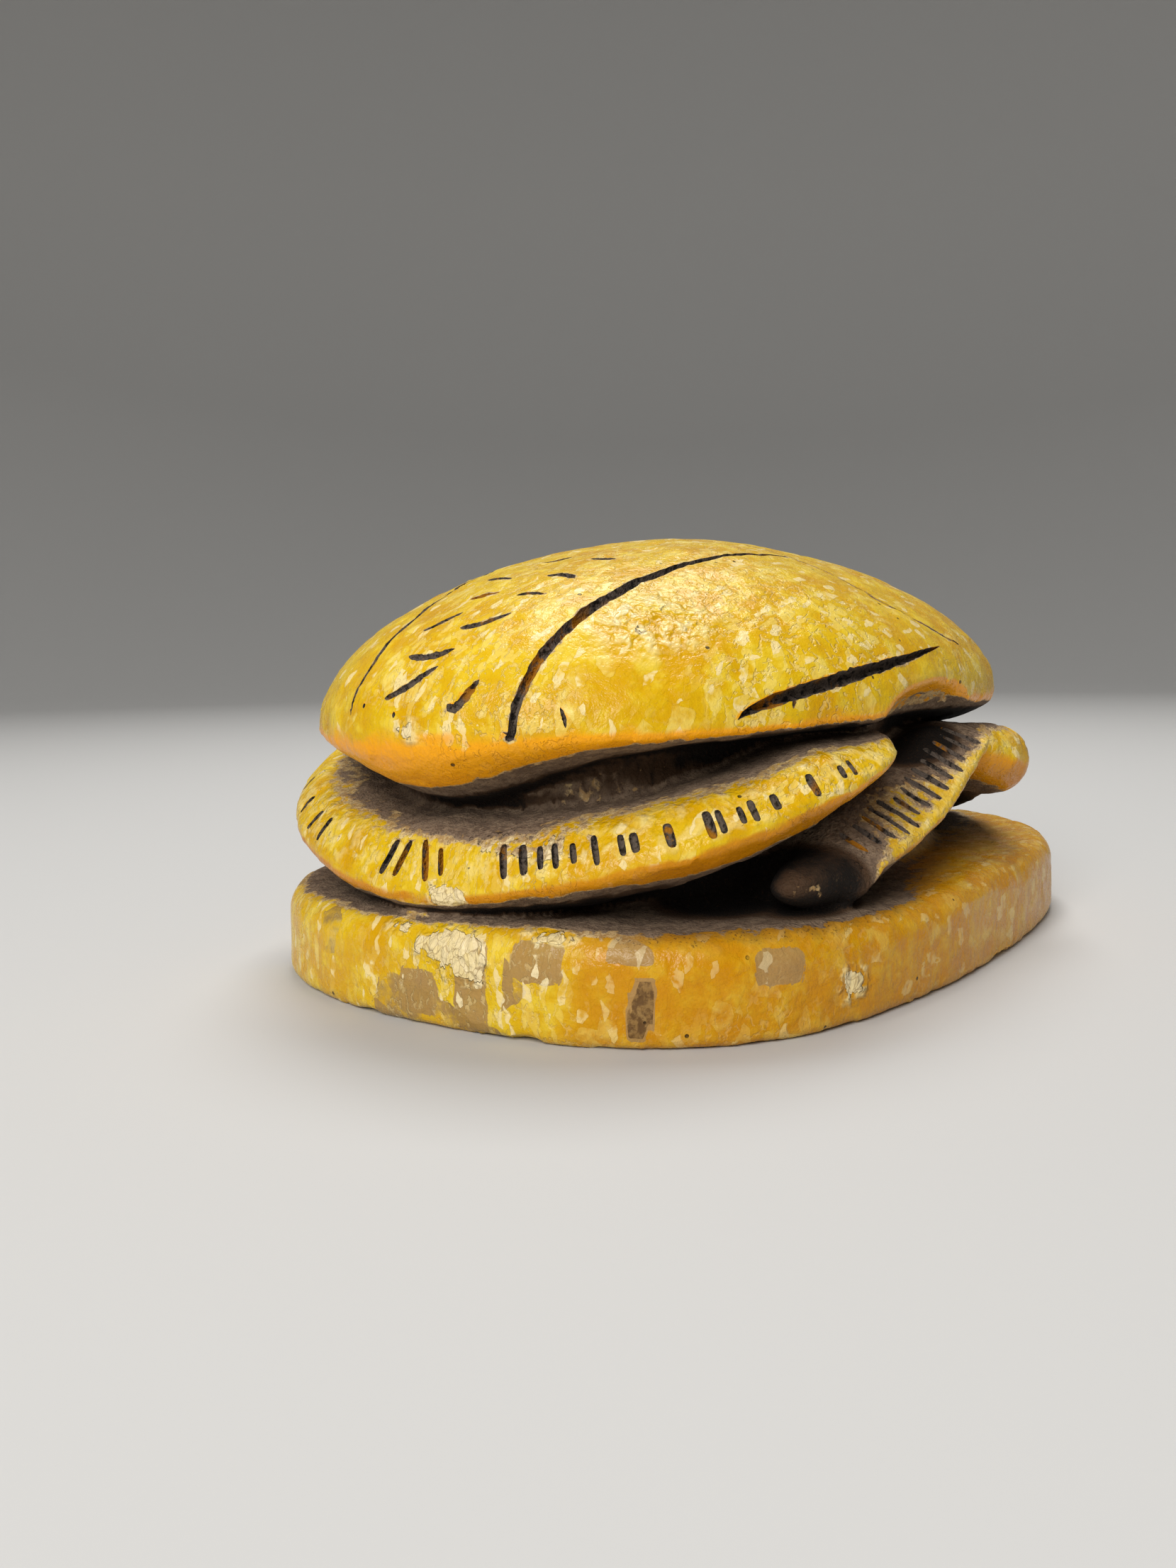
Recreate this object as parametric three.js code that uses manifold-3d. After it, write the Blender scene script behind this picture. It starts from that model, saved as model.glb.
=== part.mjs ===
// Scarab seal, carved from one block: an oval plate that rests on its flat underside, and on the plate a
// beetle with its tail towards -X and its head towards +X. Millimetres, +Z up, origin at the middle of the
// underside. The beetle is a high oval back over a narrow waist; round the tail the two hind legs meet in a
// hatched flange, and the middle and fore legs lean out of the waist on each side.
import * as THREE from 'three';
import { ParametricGeometry } from 'three/addons/geometries/ParametricGeometry.js';
import { mergeVertices } from 'three/addons/utils/BufferGeometryUtils.js';
import Module from 'manifold-3d';

const wasm = await Module();
wasm.setup();

const DEGREE = Math.PI / 180;
const RIGHT = -1;
const LEFT = 1;

// ---- driving dimensions ---------------------------------------------------------------------------

const PLATE = { centreX: 0, halfLength: 35, halfWidth: 25.5, exponent: 2.8 };
const PLATE_HEIGHT = 6.7;
const PLATE_TOP_ROUND = 1.2;
const PLATE_FOOT_ROUND = 0.5;

const WAIST = { centreX: -2, halfLength: 26.5, halfWidth: 17.5, exponent: 2.4 };
const WAIST_TOP = 20;

const BACK = { centreX: -2.8, halfLength: 32.9, halfWidth: 23, exponent: 2.13 };
const BACK_RIM_HEIGHT = 19.2;
const BACK_RIM_RISE = 0.9;
const CROWN_HEIGHT = 12.8;
const CROWN_LEAN = -0.074;
const CROWN_EXPONENT = 1.83;
const BELLY_DEPTH = 1.8;
const BELLY_TAIL_DEPTH = 6;
const BELLY_TAIL_SPREAD = 26 * DEGREE;
const BELLY_FRONT_DEPTH = 2.4;
const BELLY_EXPONENT = 2.2;

const FLANGE_SPAN = 69 * DEGREE;
const FLANGE_SHARE = 0.98;
const FLANGE_TAIL_CREST = 8;
const FLANGE_CREST_RISE = 9;
const FLANGE_RISE_EXPONENT = 1.7;
const FLANGE_FACE_HEIGHT = 2.1;
const FLANGE_TAIL_FACE_EXTRA = 2;
const FLANGE_NOSE_START = 0.8;

const MIDDLE_LEG_START = -17.5;
const MIDDLE_LEG_END = 3.2;
const MIDDLE_LEG_SHARE = 0.953;
const MIDDLE_LEG_CREST = 9.7;
const MIDDLE_LEG_FROM = -15.8;
const MIDDLE_LEG_SLOPE = 0.2;
const MIDDLE_LEG_CURVE = 0.0085;
const MIDDLE_LEG_BREADTH = 4.2;
const MIDDLE_LEG_LIFT = 2.4;

const FOOT = { centre: [-18.5, 19.6, 8.5], radii: [7, 2.5, 2] };
const ARMPIT = { centre: [-6, 24.8, 17.8], radii: [8.5, 5.2, 3] };

const FORE_LEG_ROUTE = [
  [2, 20.5, 15.6],
  [9.5, 21.7, 14.3],
  [16, 18.4, 12.8],
  [23, 15, 11],
  [29, 10.5, 8.4],
];
const FORE_LEG_BREADTH = 2;
const FORE_LEG_HEIGHT = 1.9;
const FORE_LEG_ROOT = 2.4;
const KNEE_SWELL = 0.9;

const SKULL = { centre: [23, 0, 14], radii: [8.5, 9.6, 6.2] };
const EYE = { centre: [23.5, 8.6, 14.4], radii: [3, 2.6, 2.2] };
const CLYPEUS = { centreX: 25, reach: 10.7, halfWidth: 10.4, height: 10, tilt: 0.32 };
const CLYPEUS_TEETH = 6;
const CLYPEUS_TOOTH_DEPTH = 0.1;

const SEAM_START = -35;
const SEAM_END = -5.2;
const SEAM_WIDTH = 1;
const SEAM_DEPTH = 0.8;
const RIGHT_SEAM = [-7.9, -11];
const LEFT_SEAM = [4.7, 9];
const SIDE_GROOVE_START = -24.6;
const SIDE_GROOVE_END = -1.6;
const SIDE_GROOVE_HEIGHT = 19.1;
const SIDE_GROOVE_RISE = 4.1;
const SIDE_GROOVE_WIDTH = 1.2;
const SIDE_GROOVE_DEPTH = 1.3;
const THORAX_REAR = -4.6;
const THORAX_HALF_WIDTH = 21.2;
const THORAX_SWEEP = 6.4;

const NOTCH_WIDTH = 0.55;
const NOTCH_DEPTH = 0.45;
const MIDDLE_LEG_NOTCHES = 14;
const MIDDLE_LEG_NOTCH_START = -15.6;
const MIDDLE_LEG_NOTCH_END = 0.9;
const MIDDLE_LEG_NOTCH_LENGTH = 3.4;

// The flange's hatching is uneven, in ones and twos: degrees round from the tail, for each side.
const RIGHT_HATCHES = [
  1, 4, 15, 18, 20.5, 22.6, 25, 27.8, 31, 32.5, 36.5, 41, 42.3, 44.7, 46.1, 48.7, 53.4, 57.4, 58.8,
];
const LEFT_HATCHES = [3.7, 6.6, 25.3, 29.5, 36, 44, 50, 57];

// ---- small helpers --------------------------------------------------------------------------------

const mix = THREE.MathUtils.lerp;
const ease = THREE.MathUtils.smoothstep;

function ovalPoint(oval, turn, share) {
  const along = Math.cos(turn);
  const across = Math.sin(turn);
  const sum = Math.abs(along) ** oval.exponent + Math.abs(across) ** oval.exponent;
  const reach = share / sum ** (1 / oval.exponent);
  return new THREE.Vector2(oval.centreX + oval.halfLength * reach * along, oval.halfWidth * reach * across);
}

function ovalHalfWidthAt(oval, x) {
  const along = Math.abs((x - oval.centreX) / oval.halfLength);
  return oval.halfWidth * (1 - along ** oval.exponent) ** (1 / oval.exponent);
}

function onSide(centre, side) {
  return [centre[0], side * centre[1], centre[2]];
}

function solidOf(vertProperties, triangles) {
  const mesh = new wasm.Mesh({ numProp: 3, vertProperties, triVerts: new Uint32Array(triangles) });
  return new wasm.Manifold(mesh);
}

// The solid that a geometry encloses, its faces turned outwards.
function toSolid(geometry) {
  geometry.deleteAttribute('normal');
  geometry.deleteAttribute('uv');
  const merged = mergeVertices(geometry, 1e-4);
  const index = Array.from(merged.index.array);
  const triangles = [];
  for (let i = 0; i < index.length; i += 3) {
    const [a, b, c] = index.slice(i, i + 3);
    if (a !== b && b !== c && c !== a) triangles.push(a, b, c);
  }
  const vertices = new Float32Array(merged.attributes.position.array);
  const solid = solidOf(vertices, triangles);
  return solid.volume() > 0 ? solid : solidOf(vertices, triangles.reverse());
}

// A closed body through a row of rings: ringPoint(ring, corner) gives each corner, and the corners of the
// first ring, and of the last, are all one point.
function ringedSolid(rings, corners, ringPoint) {
  const place = (u, v, target) => {
    const ring = Math.round(v * (rings - 1));
    const corner = Math.round(u * corners) % corners;
    target.copy(ringPoint(ring, corner));
  };
  return toSolid(new ParametricGeometry(place, corners, rings - 1));
}

// A body lofted through sections: sectionAt(t) gives its corners at t = 0..1, and both ends are capped.
function loftedSolid(steps, sectionAt) {
  const sections = [];
  for (let i = 0; i <= steps; i++) sections.push(sectionAt(i / steps));
  const middle = (section) => {
    const sum = new THREE.Vector3();
    for (const corner of section) sum.add(corner);
    return sum.divideScalar(section.length);
  };
  const startCap = middle(sections[0]);
  const endCap = middle(sections[steps]);
  return ringedSolid(steps + 3, sections[0].length, (ring, corner) => {
    if (ring === 0) return startCap;
    if (ring === steps + 2) return endCap;
    return sections[ring - 1][corner];
  });
}

function ellipsoid(centre, radii, segments) {
  const geometry = new THREE.SphereGeometry(1, segments, segments / 2);
  geometry.scale(...radii);
  geometry.translate(...centre);
  return toSolid(geometry);
}

// ---- plate and waist ------------------------------------------------------------------------------

function buildPlate() {
  const profile = [
    [0, 0],
    [PLATE_FOOT_ROUND, 0],
    [0, PLATE_FOOT_ROUND],
    [0, PLATE_HEIGHT - PLATE_TOP_ROUND],
    [PLATE_TOP_ROUND * 0.3, PLATE_HEIGHT - PLATE_TOP_ROUND * 0.3],
    [PLATE_TOP_ROUND, PLATE_HEIGHT],
    [0, PLATE_HEIGHT],
  ];
  const corners = 68;
  return ringedSolid(profile.length, corners, (ring, corner) => {
    const [inset, height] = profile[ring];
    if (ring === 0 || ring === profile.length - 1) return new THREE.Vector3(0, 0, height);
    const shape = { ...PLATE, halfLength: PLATE.halfLength - inset, halfWidth: PLATE.halfWidth - inset };
    const edge = ovalPoint(shape, (2 * Math.PI * corner) / corners, 1);
    return new THREE.Vector3(edge.x, edge.y, height);
  });
}

function buildWaist() {
  const heights = [PLATE_HEIGHT - 1, PLATE_HEIGHT - 1, WAIST_TOP, WAIST_TOP];
  const corners = 36;
  return ringedSolid(heights.length, corners, (ring, corner) => {
    if (ring === 0 || ring === heights.length - 1) return new THREE.Vector3(0, 0, heights[ring]);
    const edge = ovalPoint(WAIST, (2 * Math.PI * corner) / corners, 1);
    return new THREE.Vector3(edge.x, edge.y, heights[ring]);
  });
}

// ---- the back: wing cases and thorax in one high oval dome ------------------------------------------

function rimHeightAt(along) {
  return BACK_RIM_HEIGHT + BACK_RIM_RISE * along;
}

function crownHeightAt(along) {
  return CROWN_HEIGHT * (1 + CROWN_LEAN * along);
}

function bellyDepthAt(turn) {
  const fromTail = Math.PI - Math.abs(turn);
  const tail = BELLY_TAIL_DEPTH * Math.exp(-((fromTail / BELLY_TAIL_SPREAD) ** 2));
  return BELLY_DEPTH + tail + BELLY_FRONT_DEPTH * ease(Math.cos(turn), 0, 0.5);
}

// Rings from the middle of the belly out to the rim, and from there up over the crown to its top. The
// belly's middle lies inside the waist, where it doesn't show.
function buildBack() {
  const crownRings = 10;
  const bellyRings = 4;
  const corners = 64;
  return ringedSolid(bellyRings + crownRings + 1, corners, (ring, corner) => {
    const turn = (2 * Math.PI * corner) / corners;
    const wrapped = turn > Math.PI ? turn - 2 * Math.PI : turn;
    const onBelly = ring < bellyRings;
    const rings = onBelly ? bellyRings : crownRings;
    const exponent = onBelly ? BELLY_EXPONENT : CROWN_EXPONENT;
    const lift = (Math.abs(ring - bellyRings) / rings) * (Math.PI / 2);
    const share = Math.abs(ring - bellyRings) === rings ? 0 : Math.cos(lift) ** (2 / exponent);
    const climb = Math.sin(lift) ** (2 / exponent);
    const edge = ovalPoint(BACK, wrapped, share);
    const along = (edge.x - BACK.centreX) / BACK.halfLength;
    const bellyDepth = ring === 0 ? 0 : bellyDepthAt(wrapped);
    const height = onBelly ? -bellyDepth * climb : crownHeightAt(along) * climb;
    return new THREE.Vector3(edge.x, edge.y, rimHeightAt(along) + height);
  });
}

// How far a point stands outside the crown, as a share of its size: zero on the surface.
function crownField(p) {
  const along = (p.x - BACK.centreX) / BACK.halfLength;
  const across = p.y / BACK.halfWidth;
  const climb = (p.z - rimHeightAt(along)) / crownHeightAt(along);
  const plan = (Math.abs(along) ** BACK.exponent + Math.abs(across) ** BACK.exponent) ** (1 / BACK.exponent);
  return (plan ** CROWN_EXPONENT + Math.abs(climb) ** CROWN_EXPONENT) ** (1 / CROWN_EXPONENT) - 1;
}

function crownNormal(p) {
  const step = 0.01;
  const slope = (axis) => {
    const ahead = p.clone().addScaledVector(axis, step);
    const behind = p.clone().addScaledVector(axis, -step);
    return crownField(ahead) - crownField(behind);
  };
  const X = new THREE.Vector3(1, 0, 0);
  const Y = new THREE.Vector3(0, 1, 0);
  const Z = new THREE.Vector3(0, 0, 1);
  return new THREE.Vector3(slope(X), slope(Y), slope(Z)).normalize();
}

function crownPointAbove(x, y) {
  const along = (x - BACK.centreX) / BACK.halfLength;
  const across = y / BACK.halfWidth;
  const plan = (Math.abs(along) ** BACK.exponent + Math.abs(across) ** BACK.exponent) ** (1 / BACK.exponent);
  const climb = Math.max(0, 1 - plan ** CROWN_EXPONENT) ** (1 / CROWN_EXPONENT);
  return new THREE.Vector3(x, y, rimHeightAt(along) + crownHeightAt(along) * climb);
}

function crownPointBeside(x, z, side) {
  const along = (x - BACK.centreX) / BACK.halfLength;
  const climb = (z - rimHeightAt(along)) / crownHeightAt(along);
  const plan = (1 - Math.abs(climb) ** CROWN_EXPONENT) ** (1 / CROWN_EXPONENT);
  const across = (plan ** BACK.exponent - Math.abs(along) ** BACK.exponent) ** (1 / BACK.exponent);
  return new THREE.Vector3(x, side * BACK.halfWidth * across, z);
}

// A carved line that follows the crown: a wedge swept along route(t), deepest in the middle.
function crownGroove(route, width, depth, steps) {
  return loftedSolid(steps, (t) => {
    const here = route(t);
    const ahead = route(Math.min(1, t + 0.01));
    const behind = route(Math.max(0, t - 0.01));
    const forward = ahead.sub(behind).normalize();
    const outward = crownNormal(here);
    const sideways = new THREE.Vector3().crossVectors(outward, forward);
    const taper = 0.15 + 0.85 * Math.sin(Math.PI * t) ** 0.5;
    const half = (width / 2) * taper;
    const corner = (across, up) => here.clone().addScaledVector(sideways, across).addScaledVector(outward, up);
    return [corner(-half, 0.05), corner(0, -depth * taper), corner(half, 0.05), corner(0, 1.5)];
  });
}

// The line between the back's middle band and the wing case on one side.
function seamRoute([tailOffset, headOffset]) {
  return (t) => {
    const x = mix(SEAM_START, SEAM_END, t ** 1.3);
    return crownPointAbove(x, mix(tailOffset, headOffset, t ** 1.6));
  };
}

// The deep line along the wing case's side, above its lip.
function sideGrooveRoute(side) {
  return (t) => {
    const x = mix(SIDE_GROOVE_START, SIDE_GROOVE_END, t);
    return crownPointBeside(x, SIDE_GROOVE_HEIGHT + SIDE_GROOVE_RISE * t ** 0.62, side);
  };
}

// The rear edge of the thorax: across the back, then forward and down to the lip on each side.
function thoraxRoute(t) {
  const across = mix(-1, 1, t);
  const y = THORAX_HALF_WIDTH * Math.sin((Math.PI / 2) * across);
  const x = THORAX_REAR + 1.2 * across ** 2 + THORAX_SWEEP * ease(Math.abs(across), 0.6, 1);
  return crownPointAbove(x, y);
}

// ---- legs -----------------------------------------------------------------------------------------

function flangeCrestAt(reach) {
  return FLANGE_TAIL_CREST + FLANGE_CREST_RISE * Math.abs(reach) ** FLANGE_RISE_EXPONENT;
}

function flangeTopAt(reach) {
  const face = FLANGE_FACE_HEIGHT + FLANGE_TAIL_FACE_EXTRA * (1 - Math.abs(reach)) ** 2;
  return flangeCrestAt(reach) + face;
}

// The hind legs: one hatched flange wrapped round the tail, its two noses rising along the sides.
function buildFlange() {
  return loftedSolid(44, (t) => {
    const reach = 2 * t - 1;
    const crest = flangeCrestAt(reach);
    const top = flangeTopAt(reach);
    const nose = Math.max(0, (Math.abs(reach) - FLANGE_NOSE_START) / (1 - FLANGE_NOSE_START));
    const round = Math.sqrt(1 - 0.9 * nose ** 3);
    const section = [
      [0.62, top + 1.6],
      [0.86, top + 0.8],
      [0.92, top + 0.3],
      [0.945, top - 0.4],
      [FLANGE_SHARE, crest + 0.5],
      [FLANGE_SHARE - 0.002, crest - 0.35],
      [0.945, crest - 1.2],
      [0.86, crest - 2.2],
      [0.62, crest - 3],
    ];
    return section.map(([share, height]) => {
      const noseShare = mix(0.84, share, round);
      const edge = ovalPoint(PLATE, Math.PI - reach * FLANGE_SPAN, noseShare);
      return new THREE.Vector3(edge.x, edge.y, mix(crest, height, 1 - 0.7 * nose));
    });
  });
}

function middleLegCrestAt(x) {
  const run = x - MIDDLE_LEG_FROM;
  return MIDDLE_LEG_CREST + MIDDLE_LEG_SLOPE * run + MIDDLE_LEG_CURVE * run * Math.abs(run);
}

// A middle leg: a blade that climbs forward out of the plate, its hatched upper face leaning outwards.
function buildMiddleLeg(side) {
  return loftedSolid(18, (t) => {
    const x = mix(MIDDLE_LEG_START, MIDDLE_LEG_END, t);
    const crest = middleLegCrestAt(x) - 1.4 * (1 - ease(t, 0, 0.14));
    const edge = ovalHalfWidthAt(PLATE, x) * MIDDLE_LEG_SHARE;
    const nose = Math.sqrt(1 - 0.9 * ease(t, 0.88, 1) ** 2);
    const lift = MIDDLE_LEG_LIFT * (1 - 0.45 * ease(t, 0.75, 1));
    const section = [
      [0.5, -0.7],
      [0, -0.1],
      [0.25, 0.45],
      [MIDDLE_LEG_BREADTH, lift],
      [MIDDLE_LEG_BREADTH + 4, lift - 0.6],
      [MIDDLE_LEG_BREADTH + 4, -4.5],
      [2.8, -2.4],
    ];
    return section.map(([inset, rise]) => {
      const depth = mix(MIDDLE_LEG_BREADTH, inset, nose);
      return new THREE.Vector3(x, side * (edge - depth), crest + rise * mix(0.5, 1, nose));
    });
  });
}

// The hatch cuts: a short wedge laid on a surface, long way along, biting in along -outward.
function notch(centre, along, outward, length) {
  const geometry = new THREE.CylinderGeometry(1, 1, length, 4, 1);
  geometry.scale(NOTCH_WIDTH / 2, 1, NOTCH_DEPTH);
  const lengthways = along.clone().normalize();
  const sideways = new THREE.Vector3().crossVectors(lengthways, outward).normalize();
  const up = new THREE.Vector3().crossVectors(sideways, lengthways);
  geometry.applyMatrix4(new THREE.Matrix4().makeBasis(sideways, lengthways, up).setPosition(centre));
  return toSolid(geometry);
}

function middleLegNotches(side) {
  const cuts = [];
  for (let i = 0; i < MIDDLE_LEG_NOTCHES; i++) {
    const x = mix(MIDDLE_LEG_NOTCH_START, MIDDLE_LEG_NOTCH_END, i / (MIDDLE_LEG_NOTCHES - 1));
    const edge = ovalHalfWidthAt(PLATE, x) * MIDDLE_LEG_SHARE;
    const along = new THREE.Vector3(0, side * MIDDLE_LEG_BREADTH, -MIDDLE_LEG_LIFT);
    const slope = MIDDLE_LEG_SLOPE + 2 * MIDDLE_LEG_CURVE * (x - MIDDLE_LEG_FROM);
    const climb = new THREE.Vector3(1, 0, slope);
    const outward = new THREE.Vector3().crossVectors(climb, along).multiplyScalar(side);
    const y = side * (edge - MIDDLE_LEG_BREADTH * 0.45);
    const centre = new THREE.Vector3(x, y, middleLegCrestAt(x) + MIDDLE_LEG_LIFT * 0.5);
    cuts.push(notch(centre, along, outward, MIDDLE_LEG_NOTCH_LENGTH));
  }
  return cuts;
}

function flangeNotches(side, angles) {
  return angles.map((angle) => {
    const reach = (angle * DEGREE) / FLANGE_SPAN;
    const turn = Math.PI - side * angle * DEGREE;
    const low = ovalPoint(PLATE, turn, FLANGE_SHARE);
    const high = ovalPoint(PLATE, turn, 0.935);
    const crest = flangeCrestAt(reach) + 0.6;
    const top = flangeTopAt(reach) - 0.1;
    const bottom = new THREE.Vector3(low.x, low.y, crest);
    const upper = new THREE.Vector3(high.x, high.y, top);
    const along = upper.clone().sub(bottom);
    const ahead = ovalPoint(PLATE, turn + 0.01, FLANGE_SHARE);
    const tangent = new THREE.Vector3(ahead.x - low.x, ahead.y - low.y, 0);
    const outward = new THREE.Vector3().crossVectors(tangent, along);
    return notch(bottom.add(upper).multiplyScalar(0.5), along, outward, along.length() * 0.85);
  });
}

// A fore leg: it bulges at the knee, then curls in beside the head and down to the plate.
function buildForeLeg(side) {
  const stops = FORE_LEG_ROUTE.map((stop) => new THREE.Vector3(...onSide(stop, side)));
  const route = new THREE.CatmullRomCurve3(stops);
  return loftedSolid(12, (t) => {
    const centre = route.getPoint(t);
    const forward = route.getTangent(t);
    const outward = new THREE.Vector3(forward.y, -forward.x, 0).normalize().multiplyScalar(-side);
    const up = new THREE.Vector3().crossVectors(outward, forward).normalize();
    const knee = KNEE_SWELL * Math.exp(-(((t - 0.3) / 0.2) ** 2));
    const end = Math.sqrt(1 - 0.9 * Math.abs(2 * t - 1) ** 6);
    const breadth = (FORE_LEG_BREADTH + knee) * end;
    const height = (FORE_LEG_HEIGHT + knee) * end;
    const corners = 8;
    const section = [];
    for (let i = 0; i < corners; i++) {
      const turn = (2 * Math.PI * i) / corners;
      const across = Math.cos(turn) * (Math.cos(turn) < 0 ? FORE_LEG_ROOT : 1);
      const corner = centre.clone().addScaledVector(outward, breadth * across);
      section.push(corner.addScaledVector(up, height * Math.sin(turn)));
    }
    return section;
  });
}

// ---- head -----------------------------------------------------------------------------------------

// The toothed shovel at the front of the head.
function buildClypeus() {
  const corners = 48;
  const heights = [0, 0, 1.6, 2.6];
  const shares = [0, 1, 0.94, 0];
  return ringedSolid(heights.length, corners, (ring, corner) => {
    const turn = (2 * Math.PI * corner) / corners;
    const front = Math.max(0, Math.cos(turn));
    const gap = 0.5 - 0.5 * Math.cos(CLYPEUS_TEETH * 2 * turn);
    const share = shares[ring] * (1 - CLYPEUS_TOOTH_DEPTH * front * gap);
    const forward = CLYPEUS.reach * share * Math.cos(turn);
    const y = CLYPEUS.halfWidth * share * Math.sin(turn);
    const z = CLYPEUS.height - CLYPEUS.tilt * forward + heights[ring];
    return new THREE.Vector3(CLYPEUS.centreX + forward, y, z);
  });
}

function buildHead() {
  const skull = ellipsoid(SKULL.centre, SKULL.radii, 20);
  const rightEye = ellipsoid(onSide(EYE.centre, RIGHT), EYE.radii, 12);
  const leftEye = ellipsoid(onSide(EYE.centre, LEFT), EYE.radii, 12);
  return skull.add(rightEye).add(leftEye).add(buildClypeus());
}

// ---- the whole carving ----------------------------------------------------------------------------

function buildScarab() {
  let body = buildPlate().add(buildWaist()).add(buildFlange()).add(buildHead());
  for (const side of [RIGHT, LEFT]) {
    const foot = ellipsoid(onSide(FOOT.centre, side), FOOT.radii, 16);
    body = body.add(buildMiddleLeg(side)).add(foot).add(buildForeLeg(side));
  }
  let back = buildBack();
  for (const side of [RIGHT, LEFT]) {
    back = back.subtract(ellipsoid(onSide(ARMPIT.centre, side), ARMPIT.radii, 16));
    back = back.subtract(crownGroove(sideGrooveRoute(side), SIDE_GROOVE_WIDTH, SIDE_GROOVE_DEPTH, 16));
  }
  back = back.subtract(crownGroove(seamRoute(RIGHT_SEAM), SEAM_WIDTH, SEAM_DEPTH, 16));
  back = back.subtract(crownGroove(seamRoute(LEFT_SEAM), SEAM_WIDTH * 0.6, SEAM_DEPTH * 0.7, 16));
  back = back.subtract(crownGroove(thoraxRoute, SEAM_WIDTH, SEAM_DEPTH * 0.8, 28));
  let scarab = body.add(back);
  const cuts = [...middleLegNotches(RIGHT), ...middleLegNotches(LEFT)];
  cuts.push(...flangeNotches(RIGHT, RIGHT_HATCHES), ...flangeNotches(LEFT, LEFT_HATCHES));
  for (const cut of cuts) scarab = scarab.subtract(cut);
  return scarab;
}

function toGeometry(solid) {
  const mesh = solid.getMesh();
  const geometry = new THREE.BufferGeometry();
  geometry.setAttribute('position', new THREE.BufferAttribute(new Float32Array(mesh.vertProperties), 3));
  geometry.setIndex(new THREE.BufferAttribute(new Uint32Array(mesh.triVerts), 1));
  geometry.computeVertexNormals();
  return geometry;
}

const amberStone = new THREE.MeshStandardMaterial({ color: 0xc99a2e, roughness: 0.38, metalness: 0 });
const scarab = new THREE.Mesh(toGeometry(buildScarab()), amberStone);
scarab.name = 'scarab';

const seal = new THREE.Group();
seal.add(scarab);

export default seal;
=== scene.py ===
"""Scarab seal: a carved beetle on an oval plate, in aged amber-yellow cast stone.

The seal is one solid. Its carving is worked out here as a field of distances in millimetres, made from the
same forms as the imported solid: the plate, the waist, the high back, the hatched flange of the hind legs, the
middle and fore legs and the head. The field is turned into a fine mesh, the hatching is cut into it, and the
finish follows how deep each spot lies in the carving.
"""

import math
from collections import namedtuple

import bmesh
import bpy
import numpy as np
from bpy.props import FloatProperty, FloatVectorProperty, IntProperty
from mathutils import Matrix, Vector, noise


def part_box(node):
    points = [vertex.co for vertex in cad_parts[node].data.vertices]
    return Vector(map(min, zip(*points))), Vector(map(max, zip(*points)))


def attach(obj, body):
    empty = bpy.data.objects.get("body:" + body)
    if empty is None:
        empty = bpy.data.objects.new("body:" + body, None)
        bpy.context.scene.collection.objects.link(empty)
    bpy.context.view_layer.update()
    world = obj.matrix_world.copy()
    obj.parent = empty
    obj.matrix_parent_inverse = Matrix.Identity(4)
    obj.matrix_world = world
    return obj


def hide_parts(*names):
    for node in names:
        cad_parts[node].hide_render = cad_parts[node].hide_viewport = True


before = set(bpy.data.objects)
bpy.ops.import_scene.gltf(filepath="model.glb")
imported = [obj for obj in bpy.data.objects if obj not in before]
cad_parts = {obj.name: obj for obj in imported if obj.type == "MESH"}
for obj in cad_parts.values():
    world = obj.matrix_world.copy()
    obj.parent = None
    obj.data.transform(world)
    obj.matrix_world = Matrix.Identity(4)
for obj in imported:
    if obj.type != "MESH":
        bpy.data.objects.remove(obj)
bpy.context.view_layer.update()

bl_info = {
    "name": "Scarab Seal",
    "version": (1, 0, 0),
    "blender": (4, 5, 0),
    "location": "View3D > Sidebar > Scarab Seal",
    "description": "Builds a carved scarab seal and its stage round the packed solid",
    "category": "Object",
}

MM = 0.001
NODE = "scarab"
NODE_LOW, NODE_HIGH = (np.array(corner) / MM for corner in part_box(NODE))
PIECE = "scarab_carving"

# ---- forms of the seal, in millimetres ---------------------------------------------------------------

Oval = namedtuple("Oval", "centre half_length half_width exponent")

HEAD_OVERHANG = 0.7
PLATE = Oval(0.0, NODE_HIGH[0] - HEAD_OVERHANG, NODE_HIGH[1], 2.8)
PLATE_HEIGHT = 6.7
PLATE_TOP_ROUND = 1.2
PLATE_FOOT_ROUND = 0.5
WAIST = Oval(-2.0, 26.5, 17.5, 2.4)
WAIST_TOP = 20.0
WAIST_BLEND = 1.2

BACK = Oval(-2.8, 32.9, 23.0, 2.13)
RIM_HEIGHT = 19.2
RIM_RISE = 0.9
RIM_ROUND = 0.4
CROWN_HEIGHT = NODE_HIGH[2] - RIM_HEIGHT
CROWN_LEAN = -0.074
CROWN_EXPONENT = 1.83
BELLY_DEPTH = 1.8
BELLY_TAIL_DEPTH = 6.0
BELLY_TAIL_SPREAD = math.radians(26)
BELLY_FRONT_DEPTH = 2.4
BELLY_EXPONENT = 2.2
ARMPIT_CENTRE = np.array((-6.0, 24.8, 17.8))
ARMPIT_RADII = np.array((8.5, 5.2, 3.0))
ARMPIT_BLEND = 0.8

FLANGE_SPAN = math.radians(69)
FLANGE_SHARE = 0.98
FLANGE_ROOT_SHARE = 0.84
FLANGE_TOP_SHARE = 0.935
FLANGE_TAIL_CREST = 8.0
FLANGE_CREST_RISE = 9.0
FLANGE_RISE_EXPONENT = 1.7
FLANGE_FACE_HEIGHT = 2.1
FLANGE_TAIL_FACE_EXTRA = 2.0
FLANGE_NOSE_START = 0.8
FLANGE_NOSE_NARROWING = 0.9
FLANGE_NOSE_THINNING = 0.7
FLANGE_END_ROUND = 1.5
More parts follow.
